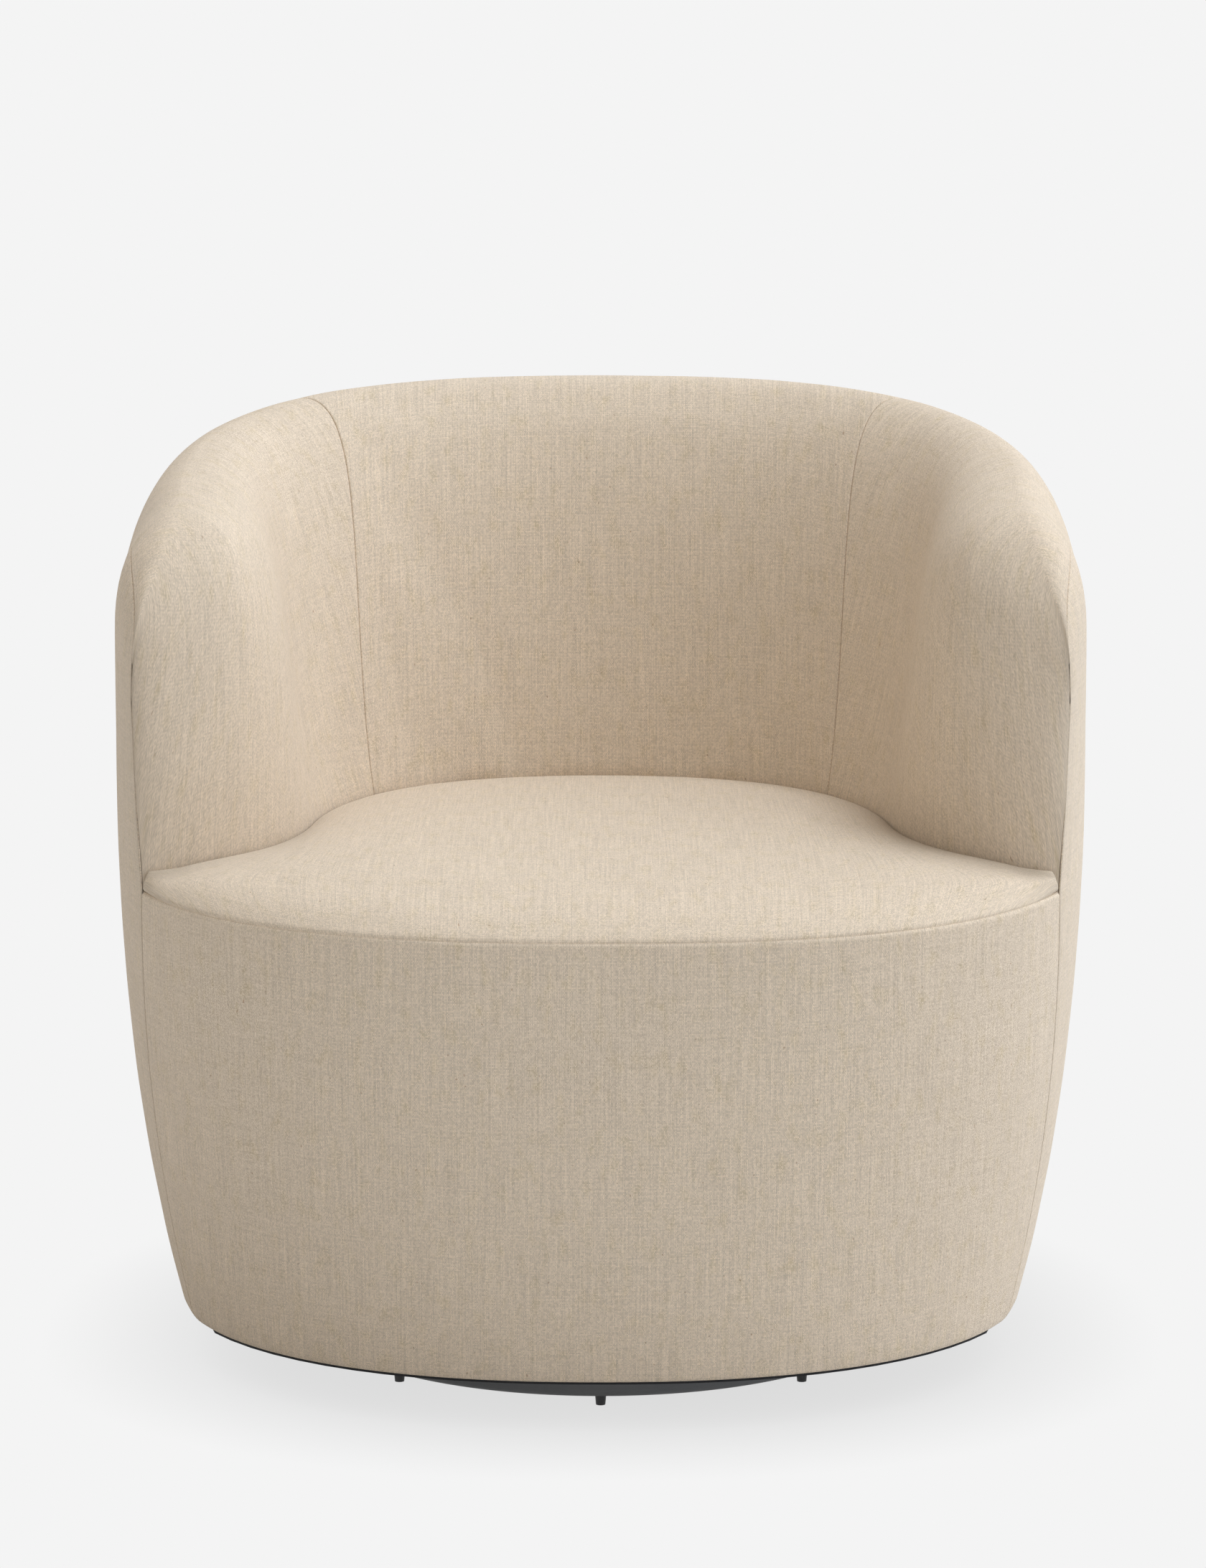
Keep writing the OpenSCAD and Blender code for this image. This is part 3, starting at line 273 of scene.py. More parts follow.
# shares of a length, close together at both of its ends where the cloth turns into the seams
def seamShares(length, step=None):
    fine, step = sewing["fine"], step or sewing["step"]
    count = max(2, round((length - 2 * fine[-1]) / step))
    middle = [mix(fine[-1], length - fine[-1], k / count) for k in range(1, count)]
    return [d / length for d in list(fine) + middle + [length - d for d in reversed(fine)]]


def cellsOf(m, n):
    return [(i * n + j, (i + 1) * n + j, (i + 1) * n + j + 1, i * n + j + 1)
            for i in range(m - 1) for j in range(n - 1)]


def gridNormals(grid):
    m, n = len(grid), len(grid[0])
    normals = []
    for i in range(m):
        row = []
        for j in range(n):
            along = grid[min(m - 1, i + 1)][j] - grid[max(0, i - 1)][j]
            up = grid[i][min(n - 1, j + 1)] - grid[i][max(0, j - 1)]
            row.append(along.cross(up).normalized())
        normals.append(row)
    return normals


def arcLengths(grid):
    m, n = len(grid), len(grid[0])
    across = [[0.0] * n for i in range(m)]
    down = [[0.0] * n for i in range(m)]
    for i in range(m):
        for j in range(n):
            if i:
                across[i][j] = across[i - 1][j] + (grid[i][j] - grid[i - 1][j]).length
            if j:
                down[i][j] = down[i][j - 1] + (grid[i][j] - grid[i][j - 1]).length
    return across, down


def gridObject(name, grid):
    m, n = len(grid), len(grid[0])
    mesh = bpy.data.meshes.new(name)
    mesh.from_pydata([p for row in grid for p in row], [], cellsOf(m, n))
    obj = bpy.data.objects.new(name, mesh)
    bpy.context.scene.collection.objects.link(obj)
    return obj


sheetCloth = {"quality": 6, "mass": 0.25, "shearPart": 3, "bending": 2.0, "steps": 20, "quickPower": 6}


# how far the cloth stands out between its seams: a pinned sheet with air behind it
def puffOf(name, pointAt, puff):
    m, n = puff["columns"], puff["rows"]
    rest = [[pointAt(i / m, j / n) for j in range(n + 1)] for i in range(m + 1)]
    normals = gridNormals(rest)
    heights = [[0.0] * (n + 1) for i in range(m + 1)]
    sheet = gridObject(name + "Sheet", rest)
    pins = sheet.vertex_groups.new(name="pins")
    edge = [i * (n + 1) + j for i in range(m + 1) for j in range(n + 1) if i in (0, m) or j in (0, n)]
    pins.add(edge, 1.0, "REPLACE")
    cloth = sheet.modifiers.new("Cloth", "CLOTH")
    settings = cloth.settings
    settings.quality = sheetCloth["quality"]
    settings.mass = sheetCloth["mass"]
    settings.tension_stiffness = settings.compression_stiffness = puff["stiffness"]
    settings.shear_stiffness = puff["stiffness"] / sheetCloth["shearPart"]
    settings.bending_stiffness = sheetCloth["bending"]
    settings.use_pressure = True
    settings.uniform_pressure_force = puff["pressure"]
    settings.vertex_group_mass = "pins"
    settings.effector_weights.gravity = 0.0
    cloth.collision_settings.use_collision = False
    cloth.point_cache.frame_start, cloth.point_cache.frame_end = 1, sheetCloth["steps"]
    for step in range(1, sheetCloth["steps"] + 1):
        bpy.context.scene.frame_set(step)
    shaped = sheet.evaluated_get(bpy.context.evaluated_depsgraph_get()).data
    tallest = 0.0
    for i in range(m + 1):
        for j in range(n + 1):
            lift = (shaped.vertices[i * (n + 1) + j].co - rest[i][j]).dot(normals[i][j])
            tallest = max(tallest, lift)
            heights[i][j] = puff["cap"] * math.tanh(max(0.0, lift) / puff["cap"])
    bpy.data.objects.remove(sheet)
    bpy.context.scene.frame_set(1)
    print(f"  {name}: cloth lifted {tallest * 1000:.1f} mm")
    return heights


def heightAt(heights, x, y):
    m, n = len(heights) - 1, len(heights[0]) - 1
    i, j = min(m - 1, int(x * m)), min(n - 1, int(y * n))
    a, b = x * m - i, y * n - j
    return mix(mix(heights[i][j], heights[i + 1][j], a), mix(heights[i][j + 1], heights[i + 1][j + 1], a), b)


# a closed panel: its cloth face turns into the seams all round, and its back lies in the padding
def sewPanel(name, node, pointAt, columns, rows, heights, clothStart, mirror=False,
             turnIn=sewing["round"]):
    tipTop = outside(1, station(1)[2])
    face = [[pointAt(x, y) for y in rows] for x in columns]
    back = [[pointAt(x, y, 1.0) for y in rows] for x in columns]
    m, n = len(columns), len(rows)
    normals = gridNormals(face)
    across, down = arcLengths(face)
    shaped = []
    for i in range(m):
        row = []
        for j in range(n):
            p = face[i][j]
            closing = mix(sewing["tipShare"], 1, clamp((p - tipTop).length / sewing["tipReach"]))
            beside = min(across[i][j], across[m - 1][j] - across[i][j])
            below = min(down[i][j], down[i][n - 1] - down[i][j])
            turn = 0.0
            for distance, deep in ((beside, sewing["round"] * closing), (below, turnIn * closing)):
                k = 1 - min(1.0, distance / deep)
                turn = max(turn, deep * (1 - math.sqrt(1 - k * k)))
            wide, narrow = sewing["waves"]
            wave = noise.noise(p * wide + Vector((len(name), 0, 0))) + 0.5 * noise.noise(p * narrow)
            uneven = sewing["unevenness"] * wave * min(1.0, min(beside, below) / sewing["calm"])
            row.append(p + normals[i][j] * (heightAt(heights, columns[i], rows[j]) + uneven - turn))
        shaped.append(row)
    points = [p for row in shaped for p in row] + [p for row in back for p in row]
    if mirror:
        points = [Vector((-p.x, p.y, p.z)) for p in points]
    size = m * n
    cells = cellsOf(m, n)
    rim = [(i * n, (i + 1) * n) for i in range(m - 1)]
    rim += [((m - 1) * n + j, (m - 1) * n + j + 1) for j in range(n - 1)]
    rim += [((i + 1) * n + n - 1, i * n + n - 1) for i in range(m - 2, -1, -1)]
    rim += [(j + 1, j) for j in range(n - 2, -1, -1)]
    faces = cells + [tuple(v + size for v in reversed(c)) for c in cells]
    faces += [(b, a, a + size, b + size) for a, b in rim]
    if mirror:
        faces = [tuple(reversed(f)) for f in faces]
    mesh = bpy.data.meshes.new(name)
    mesh.from_pydata(points, [], faces)
    # the cloth's own measure, in metres: across the weft and down the warp
    mid = m // 2
    layer = mesh.uv_layers.new(name="cloth")
    places = [(across[i][j] - across[mid][j] + clothStart[0], clothStart[1] - down[i][j])
              for i in range(m) for j in range(n)]
    for loop in mesh.loops:
        layer.data[loop.index].uv = places[loop.vertex_index % size]
    piece = bpy.data.objects.new(name, mesh)
    bpy.context.scene.collection.objects.link(piece)
    for polygon in mesh.polygons:
        polygon.use_smooth = True
    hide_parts(node)
    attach(piece, "tub")
    return piece


covers = []

print("sewing the outside panels")
outsidePanels = {"seam": backSeamShares[0], "ring": 0.9, "rows": 0.64, "backColumns": 0.80,
                 "armColumns": 0.50, "fill": 0.9,
                 "cut": {"back": (3.1, 0.9), "right": (5.3, 2.2), "left": (7.7, 4.6)},
                 "puff": {"columns": 44, "rows": 44, "pressure": 1.6, "stiffness": 30.0, "cap": 0.0008}}


def outsideFace(t0, t1):
    def pointAt(x, y, depth=0.0):
        t = mix(t0, t1, x)
        top = station(abs(t))[3] - sewing["gap"]
        return outside(t, mix(tub["skirt"], top, y), depth)
    return pointAt


seamT, gapT = outsidePanels["seam"], sewing["gap"] / outsidePanels["ring"]
rows = seamShares(outsidePanels["rows"])
backFace = outsideFace(-seamT + gapT, seamT - gapT)
heights = puffOf("outsideBack", backFace, outsidePanels["puff"])
covers.append(sewPanel("outsideBackPanel", "outside_back", lambda x, y, d=0.0: backFace(1 - x, y, d),
                       seamShares(outsidePanels["backColumns"]), rows, heights,
                       outsidePanels["cut"]["back"]))
armFace = outsideFace(1.0, seamT + gapT)
heights = puffOf("outsideArm", armFace, outsidePanels["puff"])
for side in ("right", "left"):
    covers.append(sewPanel("outsideArm" + side.title(), "outside_arm_" + side, armFace,
                           seamShares(outsidePanels["armColumns"]), rows, heights,
                           outsidePanels["cut"][side], mirror=side == "left"))

print("sewing the inside back and arms")
insidePanels = {"backColumns": 0.62, "backStep": 0.008, "armColumns": 0.50, "armStep": 0.0075, "below": 0.4,
                "fill": 0.8, "fineRows": (0, 0.002, 0.005, 0.010, 0.018, 0.03, 0.045), "plainFrom": 0.06,
                "plainRows": 75, "armSpread": 1.5, "armRun": 1.1, "armFine": (0, 0.0004, 0.0012, 0.003),
                "armFineShare": 0.9, "cut": {"back": (0.35, 0.62), "right": (1.9, 3.3), "left": (9.4, 5.8)},
                "puff": {"columns": 40, "rows": 40, "pressure": 2.2, "stiffness": 25.0, "cap": 0.002}}


def insideRows(y):
    return mix(-1.0, 1 + insidePanels["below"], y)


def insideBackFace(x, y, depth=0.0):
    v = insideRows(y)
    return padAt((1 - 2 * x) * (backSeam(v) - gapT), v, depth)


def insideArmFace(x, y, depth=0.0):
    v = insideRows(y)
    return padAt(mix(1.0, backSeam(v) + gapT, x ** insidePanels["armSpread"]), v, depth)


# rows lie close together under the outside seam, and the arms' columns by their front edge
plain, count = insidePanels["plainFrom"], insidePanels["plainRows"]
padRows = list(insidePanels["fineRows"]) + [plain + (1 - plain) * k / (count - 1) for k in range(count)]
heights = puffOf("insideBack", insideBackFace, insidePanels["puff"])
covers.append(sewPanel("insideBackPad", "inside_back", insideBackFace,
                       seamShares(insidePanels["backColumns"], insidePanels["backStep"]), padRows, heights,
                       insidePanels["cut"]["back"]))
heights = puffOf("insideArm", insideArmFace, insidePanels["puff"])
fineColumns = [(d / insidePanels["armRun"]) ** (1 / insidePanels["armSpread"]) * insidePanels["armFineShare"]
               for d in insidePanels["armFine"]]
armColumns = sorted(set(fineColumns + seamShares(insidePanels["armColumns"], insidePanels["armStep"])))
for side in ("right", "left"):
    covers.append(sewPanel("insideArm" + side.title(), "inside_arm_" + side, insideArmFace, armColumns,
                           padRows, heights, insidePanels["cut"][side],
                           mirror=side == "left"))

print("sewing the seat and the front")
seatPad = {"crown": 0.012, "crownReach": 0.567, "round": 0.025, "cornerRound": 0.004, "columns": 0.80,
           "rows": 0.56, "step": 0.008, "end": 0.9965, "gap": 0.0006, "under": 0.0006, "turnIn": 0.0042,
           "cut": (12.4, 7.1), "fill": 0.7,
           "puff": {"columns": 40, "rows": 30, "pressure": 2.0, "stiffness": 25.0, "cap": 0.003}}
frontPanel = {"columns": 0.86, "rows": 0.37, "step": 0.008, "end": 0.9992, "under": 0.0012,
              "cut": (14.2, 8.8), "fill": 0.9,
              "puff": {"columns": 44, "rows": 24, "pressure": 1.6, "stiffness": 30.0, "cap": 0.0018}}


# the seat's topper, crowned in the middle: y runs from its front seam to the back
def seatAt(x, y, depth=0.0):
    q = (1 - 2 * x) * seatPad["end"]
    edge = frontAt(-q, tub["frontSeam"] + sewing["gap"])
    tail = wellLine(abs(q)) - wellOut(abs(q)) * seatPad["gap"]
    tail = Vector((math.copysign(tail.x, -q) if q else 0.0, tail.y, edge.z))
    far = (tail - edge).length
    tuck = min(padding["cover"], far / 2) * depth
    a = frontAt(-q, tub["frontSeam"], tuck)
    p = a.lerp(tail, y)
    d = tuck + y * (far - tuck)
    edgeRound = max(seatPad["cornerRound"], min(seatPad["round"], far / 2))
    rise = (well["seat"] - tub["frontSeam"]) * (1 - math.exp(-d / edgeRound))
    crown = seatPad["crown"] * math.sin(math.pi * y) * clamp(far / seatPad["crownReach"])
    if depth == 0:
        p.z = tub["frontSeam"] + (rise + crown)
    else:
        sunk = max(-padding["topper"], -padding["topper"] * d / padding["cover"])
        p.z = tub["frontSeam"] + (sunk + seatPad["under"])
    return p


heights = puffOf("seat", seatAt, seatPad["puff"])
covers.append(sewPanel("seatTopper", "seat_pad", seatAt, seamShares(seatPad["columns"], seatPad["step"]),
                       seamShares(seatPad["rows"], seatPad["step"]), heights, seatPad["cut"],
                       turnIn=seatPad["turnIn"]))


def frontFace(x, y, depth=0.0):
    seam = tub["frontSeam"]
    top = mix(seam - sewing["gap"], seam - padding["topper"] - frontPanel["under"], depth)
    return frontAt(mix(-1, 1, x) * frontPanel["end"], mix(tub["skirt"], top, y), depth * padding["cover"])


heights = puffOf("front", frontFace, frontPanel["puff"])
covers.append(sewPanel("frontSkirtPanel", "front_panel", frontFace,
                       seamShares(frontPanel["columns"], frontPanel["step"]),
                       seamShares(frontPanel["rows"], frontPanel["step"]), heights, frontPanel["cut"],
                       turnIn=seatPad["turnIn"]))

print("making the finishes")


def newGroup(name, inputs, outputs):
    group = bpy.data.node_groups.new(name, "ShaderNodeTree")
    for label, kind, value in inputs:
        socket = group.interface.new_socket(label, in_out="INPUT", socket_type=kind)
        if value is not None:
            socket.default_value = value
    for label, kind in outputs:
        group.interface.new_socket(label, in_out="OUTPUT", socket_type=kind)
    return group, group.nodes.new("NodeGroupInput"), group.nodes.new("NodeGroupOutput")


def mathNode(tree, operation, a, b=None, c=None):
    node = tree.nodes.new("ShaderNodeMath")
    node.operation = operation
    for index, value in enumerate((a, b, c)):
        if value is None:
            continue
        if hasattr(value, "links"):
            tree.links.new(value, node.inputs[index])
        else:
            node.inputs[index].default_value = value
    return node.outputs[0]


def mapRange(tree, value, low, high, toLow=0.0, toHigh=1.0):
    node = tree.nodes.new("ShaderNodeMapRange")
    tree.links.new(value, node.inputs["Value"])
    for label, number in (("From Min", low), ("From Max", high), ("To Min", toLow), ("To Max", toHigh)):
        node.inputs[label].default_value = number
    return node.outputs["Result"]


def mixColour(tree, factor, a, b, blend="MIX"):
    node = tree.nodes.new("ShaderNodeMix")
    node.data_type, node.blend_type = "RGBA", blend
    for label, value in ((0, factor), (6, a), (7, b)):
        if hasattr(value, "links"):
            tree.links.new(value, node.inputs[label])
        elif isinstance(value, (int, float)):
            node.inputs[label].default_value = value
        else:
            node.inputs[label].default_value = (*value, 1)
    return node.outputs[2]


def mixFloat(tree, factor, a, b):
    node = tree.nodes.new("ShaderNodeMix")
    for label, value in ((0, factor), (2, a), (3, b)):
        if hasattr(value, "links"):
            tree.links.new(value, node.inputs[label])
        else:
            node.inputs[label].default_value = value
    return node.outputs[0]


def noiseNode(tree, vector, scale, detail=2.0, roughness=0.5):
    node = tree.nodes.new("ShaderNodeTexNoise")
    node.inputs["Scale"].default_value = scale
    node.inputs["Detail"].default_value = detail
    node.inputs["Roughness"].default_value = roughness
    tree.links.new(vector, node.inputs["Vector"])
    return node.outputs["Fac"]


def stretched(tree, vector, scale):
    node = tree.nodes.new("ShaderNodeMapping")
    node.inputs["Scale"].default_value = scale
    tree.links.new(vector, node.inputs["Vector"])
    return node.outputs["Vector"]


# plain weave: which thread lies on top, how high it stands, and a number for each crossing
def weaveGroup(pitch=0.001, crown=0.5):
    group, source, target = newGroup(
        "plainWeave",
        [("Vector", "NodeSocketVector", None), ("Warp Pitch", "NodeSocketFloat", pitch),
         ("Weft Pitch", "NodeSocketFloat", pitch)],
        [("Height", "NodeSocketFloat"), ("Over", "NodeSocketFloat"), ("Crossing", "NodeSocketFloat")])
    split = group.nodes.new("ShaderNodeSeparateXYZ")
    group.links.new(source.outputs["Vector"], split.inputs[0])
    x = mathNode(group, "DIVIDE", split.outputs[0], source.outputs["Warp Pitch"])
    y = mathNode(group, "DIVIDE", split.outputs[1], source.outputs["Weft Pitch"])
    column, course = mathNode(group, "FLOOR", x), mathNode(group, "FLOOR", y)
    over = mathNode(group, "ABSOLUTE", mathNode(group, "MODULO", mathNode(group, "ADD", column, course), 2.0))
    ridgeX = mathNode(group, "ABSOLUTE", mathNode(group, "SINE", mathNode(group, "MULTIPLY", x, math.pi)))
    ridgeY = mathNode(group, "ABSOLUTE", mathNode(group, "SINE", mathNode(group, "MULTIPLY", y, math.pi)))
    warpHigh = mathNode(group, "MULTIPLY", ridgeX, mathNode(group, "POWER", ridgeY, crown))
    weftHigh = mathNode(group, "MULTIPLY", ridgeY, mathNode(group, "POWER", ridgeX, crown))
    height = mixFloat(group, over, weftHigh, warpHigh)
    cell = group.nodes.new("ShaderNodeCombineXYZ")
    group.links.new(column, cell.inputs[0])
    group.links.new(course, cell.inputs[1])
    white = group.nodes.new("ShaderNodeTexWhiteNoise")
    white.noise_dimensions = "2D"
    group.links.new(cell.outputs[0], white.inputs["Vector"])
    group.links.new(white.outputs["Value"], target.inputs["Crossing"])
    group.links.new(height, target.inputs["Height"])
    group.links.new(over, target.inputs["Over"])
    return group


weave = weaveGroup()


def newMaterial(name, roughness=0.6, metallic=0.0):
    material = bpy.data.materials.new(name)
    material.use_nodes = True
    shader = material.node_tree.nodes["Principled BSDF"]
    shader.inputs["Roughness"].default_value = roughness
    shader.inputs["Metallic"].default_value = metallic
    return material, material.node_tree, shader


def addBump(tree, shader, height, distance, strength=1.0):
    bump = tree.nodes.new("ShaderNodeBump")
    bump.inputs["Strength"].default_value = strength
    bump.inputs["Distance"].default_value = distance
    tree.links.new(height, bump.inputs["Height"])
    tree.links.new(bump.outputs["Normal"], shader.inputs["Normal"])


def objectVector(tree, scale=(1, 1, 1)):
    source = tree.nodes.new("ShaderNodeTexCoord")
    return stretched(tree, source.outputs["Object"], scale)


# a colour that goes from dark to light as the value goes from low to high
def paintBetween(tree, shader, value, low, high, dark, light):
    colour = mixColour(tree, mapRange(tree, value, low, high), dark, light)
    tree.links.new(colour, shader.inputs["Base Color"])


upholstery = {"warpPitch": 0.0009, "weftPitch": 0.00116, "base": (0.715, 0.590, 0.455),
              "ochre": (0.62, 0.49, 0.29), "brown": (0.36, 0.21, 0.12), "roughness": 0.85,
              "wanderScale": 60.0, "wander": 0.0012, "crossing": 0.24, "over": 0.06,
              "warp": 0.145, "warpSlubs": (700, 12, 1), "weft": 0.075, "weftSlubs": (16, 560, 1),
              "slubDetail": 2.0, "slubRoughness": 0.6, "hollowShade": 0.20, "hollowShadeTo": 0.6, "hollowShadeMiddle": 0.8,
              "patches": (100, 45, 1), "patchDetail": 3.0, "patchFrom": 0.50, "patchTo": 0.80,
              "threadFrom": 0.2, "threadTo": 0.8, "ochreMost": 0.7, "ochreLeast": 0.2,
              "brownFibres": (300, 200, 1), "brownFrom": 0.74, "brownTo": 0.80, "brownShare": 0.6,
              "bump": 0.00012, "sheen": 0.12, "sheenRoughness": 0.5, "specular": 0.25}


def makeUpholstery():
    look = upholstery
    material, tree, shader = newMaterial("heatheredCloth", look["roughness"])
    uv = tree.nodes.new("ShaderNodeUVMap")
    uv.uv_map = "cloth"
    vector = uv.outputs["UV"]
    # yarns wander a little, so the weave isn't a ruled grid
    wander = tree.nodes.new("ShaderNodeTexNoise")
    wander.inputs["Scale"].default_value = look["wanderScale"]
    tree.links.new(vector, wander.inputs["Vector"])
    shift = tree.nodes.new("ShaderNodeVectorMath")
    shift.operation = "MULTIPLY_ADD"
    tree.links.new(wander.outputs["Color"], shift.inputs[0])
    shift.inputs[1].default_value = (look["wander"], look["wander"], 0)
    tree.links.new(vector, shift.inputs[2])
    threads = tree.nodes.new("ShaderNodeGroup")
    threads.node_tree = weave
    threads.inputs["Warp Pitch"].default_value = look["warpPitch"]
    threads.inputs["Weft Pitch"].default_value = look["weftPitch"]
    tree.links.new(shift.outputs[0], threads.inputs["Vector"])
    height, crossing = threads.outputs["Height"], threads.outputs["Crossing"]
    # tone: every crossing differs a little, slubs run along the threads, and the hollows between the threads
    # are painted darker as shade
    warp, weft = (noiseNode(tree, stretched(tree, vector, look[way]), 1.0, look["slubDetail"],
                            look["slubRoughness"]) for way in ("warpSlubs", "weftSlubs"))
    parts = [(crossing, 0.5, look["crossing"]), (threads.outputs["Over"], 0.5, look["over"]),
             (warp, 0.5, 3 * look["warp"]), (weft, 0.5, 3 * look["weft"]),
             # painted shade: the weave's low places between the threads get a darker tone
             (mapRange(tree, height, 0.0, look["hollowShadeTo"]), look["hollowShadeMiddle"], look["hollowShade"])]
    tone = 1.0
    for value, middle, weight in parts:
        centred = mathNode(tree, "MULTIPLY", mathNode(tree, "SUBTRACT", value, middle), weight)
        tone = mathNode(tree, "ADD", centred, tone)
    # ochre fibres gather in loose upright patches, and a few brown ones stand alone
    patch = noiseNode(tree, stretched(tree, vector, look["patches"]), 1.0, look["patchDetail"],
                      look["slubRoughness"])
    ochre = mathNode(tree, "MULTIPLY", mapRange(tree, patch, look["patchFrom"], look["patchTo"]),
                     mapRange(tree, crossing, look["threadFrom"], look["threadTo"], look["ochreMost"],
                              look["ochreLeast"]))
    colour = mixColour(tree, ochre, look["base"], look["ochre"])
    rare = noiseNode(tree, stretched(tree, vector, look["brownFibres"]), 1.0, 1.0)
    rare = mapRange(tree, rare, look["brownFrom"], look["brownTo"])
    colour = mixColour(tree, mathNode(tree, "MULTIPLY", rare, look["brownShare"]), colour, look["brown"])
    colour = mixColour(tree, 1.0, colour, tone, "MULTIPLY")
    tree.links.new(colour, shader.inputs["Base Color"])
    addBump(tree, shader, height, look["bump"])
    shader.inputs["Sheen Weight"].default_value = look["sheen"]
    shader.inputs["Sheen Roughness"].default_value = look["sheenRoughness"]
    shader.inputs["Specular IOR Level"].default_value = look["specular"]
    return material


clothMaterial = makeUpholstery()
for piece in covers:
    piece.data.materials.append(clothMaterial)


# timber: long grain, with edges of thin layers on the plywood
wood = {"roughness": 0.62, "detail": 5.0, "noise": 0.6, "ringFrom": 0.35, "ringTo": 0.68, "glueFrom": 0.2,
        "glueTo": 0.7, "glueShare": 0.45, "bump": 0.0004, "bumpStrength": 0.6}


def makeWood(name, light, dark, grain, layers=0.0):
    material, tree, shader = newMaterial(name, wood["roughness"])
    rings = noiseNode(tree, objectVector(tree, grain), 1.0, wood["detail"], wood["noise"])
    colour = mixColour(tree, mapRange(tree, rings, wood["ringFrom"], wood["ringTo"]), dark, light)
    if layers:
        split = tree.nodes.new("ShaderNodeSeparateXYZ")
        tree.links.new(objectVector(tree), split.inputs[0])
        band = mathNode(tree, "SINE", mathNode(tree, "MULTIPLY", split.outputs[2], 2 * math.pi / layers))
        glue = mapRange(tree, band, wood["glueFrom"], wood["glueTo"], 0.0, wood["glueShare"])
        colour = mixColour(tree, glue, colour, dark)
    tree.links.new(colour, shader.inputs["Base Color"])
    addBump(tree, shader, rings, wood["bump"], wood["bumpStrength"])
    return material


metal = {"grain": (900, 60, 60), "detail": 3.0, "from": 0.3, "to": 0.7, "dull": 0.82, "smoothest": 0.8,
         "roughest": 1.25, "bump": 0.00005}


def makeMetal(name, colour, roughness):
    material, tree, shader = newMaterial(name, roughness, 1.0)
    brushed = noiseNode(tree, objectVector(tree, metal["grain"]), 1.0, metal["detail"])
    dull = tuple(c * metal["dull"] for c in colour)
    paintBetween(tree, shader, brushed, metal["from"], metal["to"], dull, colour)
    sheen = mapRange(tree, brushed, metal["from"], metal["to"], roughness * metal["smoothest"],
                     roughness * metal["roughest"])
    tree.links.new(sheen, shader.inputs["Roughness"])
    addBump(tree, shader, brushed, metal["bump"])
    return material


strap = {"roughness": 0.9, "hollowShade": 0.45, "bump": 0.0006}


def makeWovenStrap(name, colour, pitch):
    material, tree, shader = newMaterial(name, strap["roughness"])
    threads = tree.nodes.new("ShaderNodeGroup")
    threads.node_tree = weave
    threads.inputs["Warp Pitch"].default_value = threads.inputs["Weft Pitch"].default_value = pitch
    tree.links.new(objectVector(tree), threads.inputs["Vector"])
    # painted shade: the weave's hollows are darkened towards a share of the strap's colour
    tone = mixColour(tree, threads.outputs["Height"], tuple(c * strap["hollowShade"] for c in colour), colour)
    tree.links.new(tone, shader.inputs["Base Color"])
    addBump(tree, shader, threads.outputs["Height"], strap["bump"])
    return material


foam = {"roughness": 0.95, "cells": 900.0, "detail": 3.0, "noise": 0.7, "hollowShade": (0.62, 0.55, 0.36),
        "skin": (0.90, 0.85, 0.66), "bump": 0.0008}


def makeFoam():
    material, tree, shader = newMaterial("cutFoam", foam["roughness"])
    cells = noiseNode(tree, objectVector(tree), foam["cells"], foam["detail"], foam["noise"])
    # painted shade: the foam's cell hollows are coloured darker than its skin
    tree.links.new(mixColour(tree, cells, foam["hollowShade"], foam["skin"]), shader.inputs["Base Color"])
    addBump(tree, shader, cells, foam["bump"])
    return material


# powder paint on the disc: a fine orange peel, a little cloudy
paint = {"roughness": 0.55, "peel": 1400.0, "peelDetail": 2.0, "cloud": 14.0, "cloudDetail": 3.0,
         "from": 0.35, "to": 0.7, "dark": (0.165, 0.168, 0.172), "light": (0.215, 0.215, 0.217),
         "glossFrom": 0.3, "glossTo": 0.7, "smoothest": 0.48, "roughest": 0.64, "bump": 0.00012}


def makePaint():
    material, tree, shader = newMaterial("mattPaint", paint["roughness"])
    peel = noiseNode(tree, objectVector(tree), paint["peel"], paint["peelDetail"])
    cloud = noiseNode(tree, objectVector(tree), paint["cloud"], paint["cloudDetail"])
    paintBetween(tree, shader, cloud, paint["from"], paint["to"], paint["dark"], paint["light"])
    gloss = mapRange(tree, cloud, paint["glossFrom"], paint["glossTo"], paint["smoothest"], paint["roughest"])
    tree.links.new(gloss, shader.inputs["Roughness"])
    addBump(tree, shader, peel, paint["bump"])
    return material


glide = {"roughness": 0.45, "scuffs": (600, 600, 90), "detail": 3.0, "from": 0.45, "to": 0.75,
         "dark": (0.010, 0.010, 0.011), "light": (0.045, 0.044, 0.043), "bump": 0.00008}


def makeGlide():
    material, tree, shader = newMaterial("glidePlastic", glide["roughness"])
    scuffs = noiseNode(tree, objectVector(tree, glide["scuffs"]), 1.0, glide["detail"])
    paintBetween(tree, shader, scuffs, glide["from"], glide["to"], glide["dark"], glide["light"])
    addBump(tree, shader, scuffs, glide["bump"])
    return material


# black non-woven cloth under the tub: pressed fibres and a dimpled bond
dustCloth = {"roughness": 0.95, "fibres": 700.0, "detail": 4.0, "noise": 0.7, "dimples": 480.0,
             "dark": (0.006, 0.006, 0.007), "light": (0.030, 0.030, 0.032), "bump": 0.0003}


